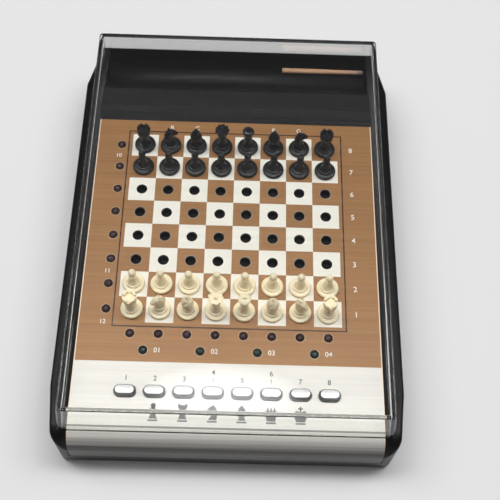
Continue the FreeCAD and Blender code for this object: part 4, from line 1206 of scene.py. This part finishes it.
# %% Studio lamps
STUDIO = [
    ("soft_left", (-0.83, 0.27, 1.45), (0.8, 0.8), 7.0),
    ("soft_right", (0.83, 0.27, 1.45), (0.8, 0.8), 6.8),
    ("soft_top", (0.0, 0.15, 1.45), (1.1, 0.30), 9.0),
    ("soft_front", (0.0, -0.36, 1.15), (0.7, 0.7), 1.1),
]

for name, place, size, watts in STUDIO:
    lamp = bpy.data.lights.new(name, "AREA")
    lamp.shape = "RECTANGLE"
    lamp.size, lamp.size_y = size
    lamp.energy = watts
    holder = add_object(name, lamp)
    holder.location = place
    holder.rotation_euler = (Vector((0, 0, DECK)) - Vector(place)).to_track_quat("-Z", "Y").to_euler()
    print(name, watts, "W")

# %% [markdown]
# The sky fills the shadows. A picture of a room could be wrapped round the scene, but three rules are enough:
# an even level, a pale horizon for the eye, and a bright window, which the cover mirrors as a glare.

# %% Sky
FRONT_SKY, REAR_SKY, SKY_TURN = 0.09, 0.13, (-0.7, 0.3)
GLARE_PLACE, GLARE_REACH, GLARE = (-0.01, 0.316), (0.088, 0.034), 4.2
HORIZON, HORIZON_FADE = PALE + 0.08, (0.02, 0.35)
SKY_TINT = (0.97, 0.985, 1.0)


def make_sky(world):
    """The strength at a direction (x, y, z): level(y) + glare(x, y), or horizon(z) where that is more. The
    glare is 1 - ((x - place) / reach)^2 - ((y - place) / reach)^2, where that is above 0."""
    sky = Wiring(world.node_tree)
    x, y, z = sky.split(sky.node("ShaderNodeTexCoord").outputs["Generated"])
    off = [sky.math("POWER", sky.math("DIVIDE", sky.math("SUBTRACT", value, place), reach), 2.0)
           for value, place, reach in zip((x, y), GLARE_PLACE, GLARE_REACH)]
    window = sky.math("MAXIMUM", sky.math("SUBTRACT", 1.0, sky.math("ADD", *off)), 0.0)
    level = sky.math("ADD", sky.ramp(y, FRONT_SKY, REAR_SKY, *SKY_TURN), sky.times(window, GLARE))
    horizon = sky.times(sky.ramp(z, HORIZON, 0.0, *HORIZON_FADE), looked_at(sky))
    background = world.node_tree.nodes["Background"]
    sky.feed(background.inputs["Color"], SKY_TINT)
    sky.feed(background.inputs["Strength"], sky.math("MAXIMUM", level, horizon))


world = bpy.data.worlds.new("sky")
world.use_nodes = True
make_sky(world)
bpy.context.scene.world = world
print("sky from", FRONT_SKY, "to", REAR_SKY)

# %% [markdown]
# The camera looks from the picture's own angle. It could be set by eye, but its place and lens were worked
# out from the grid of peg holes, whose spacing is known.

# %% Camera
EYE, AIM = Vector((2.43, -185.2, 361.1)) * MM, Vector((7.38, -10.55, 26.0)) * MM
ROLL = math.radians(3.03)
LENS, SENSOR, NEAREST = 66.8, 36.0, 0.01

camera = bpy.data.cameras.new("camera")
camera.lens = LENS
camera.sensor_width = SENSOR
camera.clip_start = NEAREST
holder = add_object("camera", camera)
holder.matrix_world = (Matrix.Translation(EYE) @ (AIM - EYE).to_track_quat("-Z", "Y").to_matrix().to_4x4()
                       @ Matrix.Rotation(ROLL, 4, "Z"))
bpy.context.scene.camera = holder
bpy.context.scene.view_settings.view_transform = "Standard"
print(f"camera {(AIM - EYE).length / MM:.0f} mm from the board")
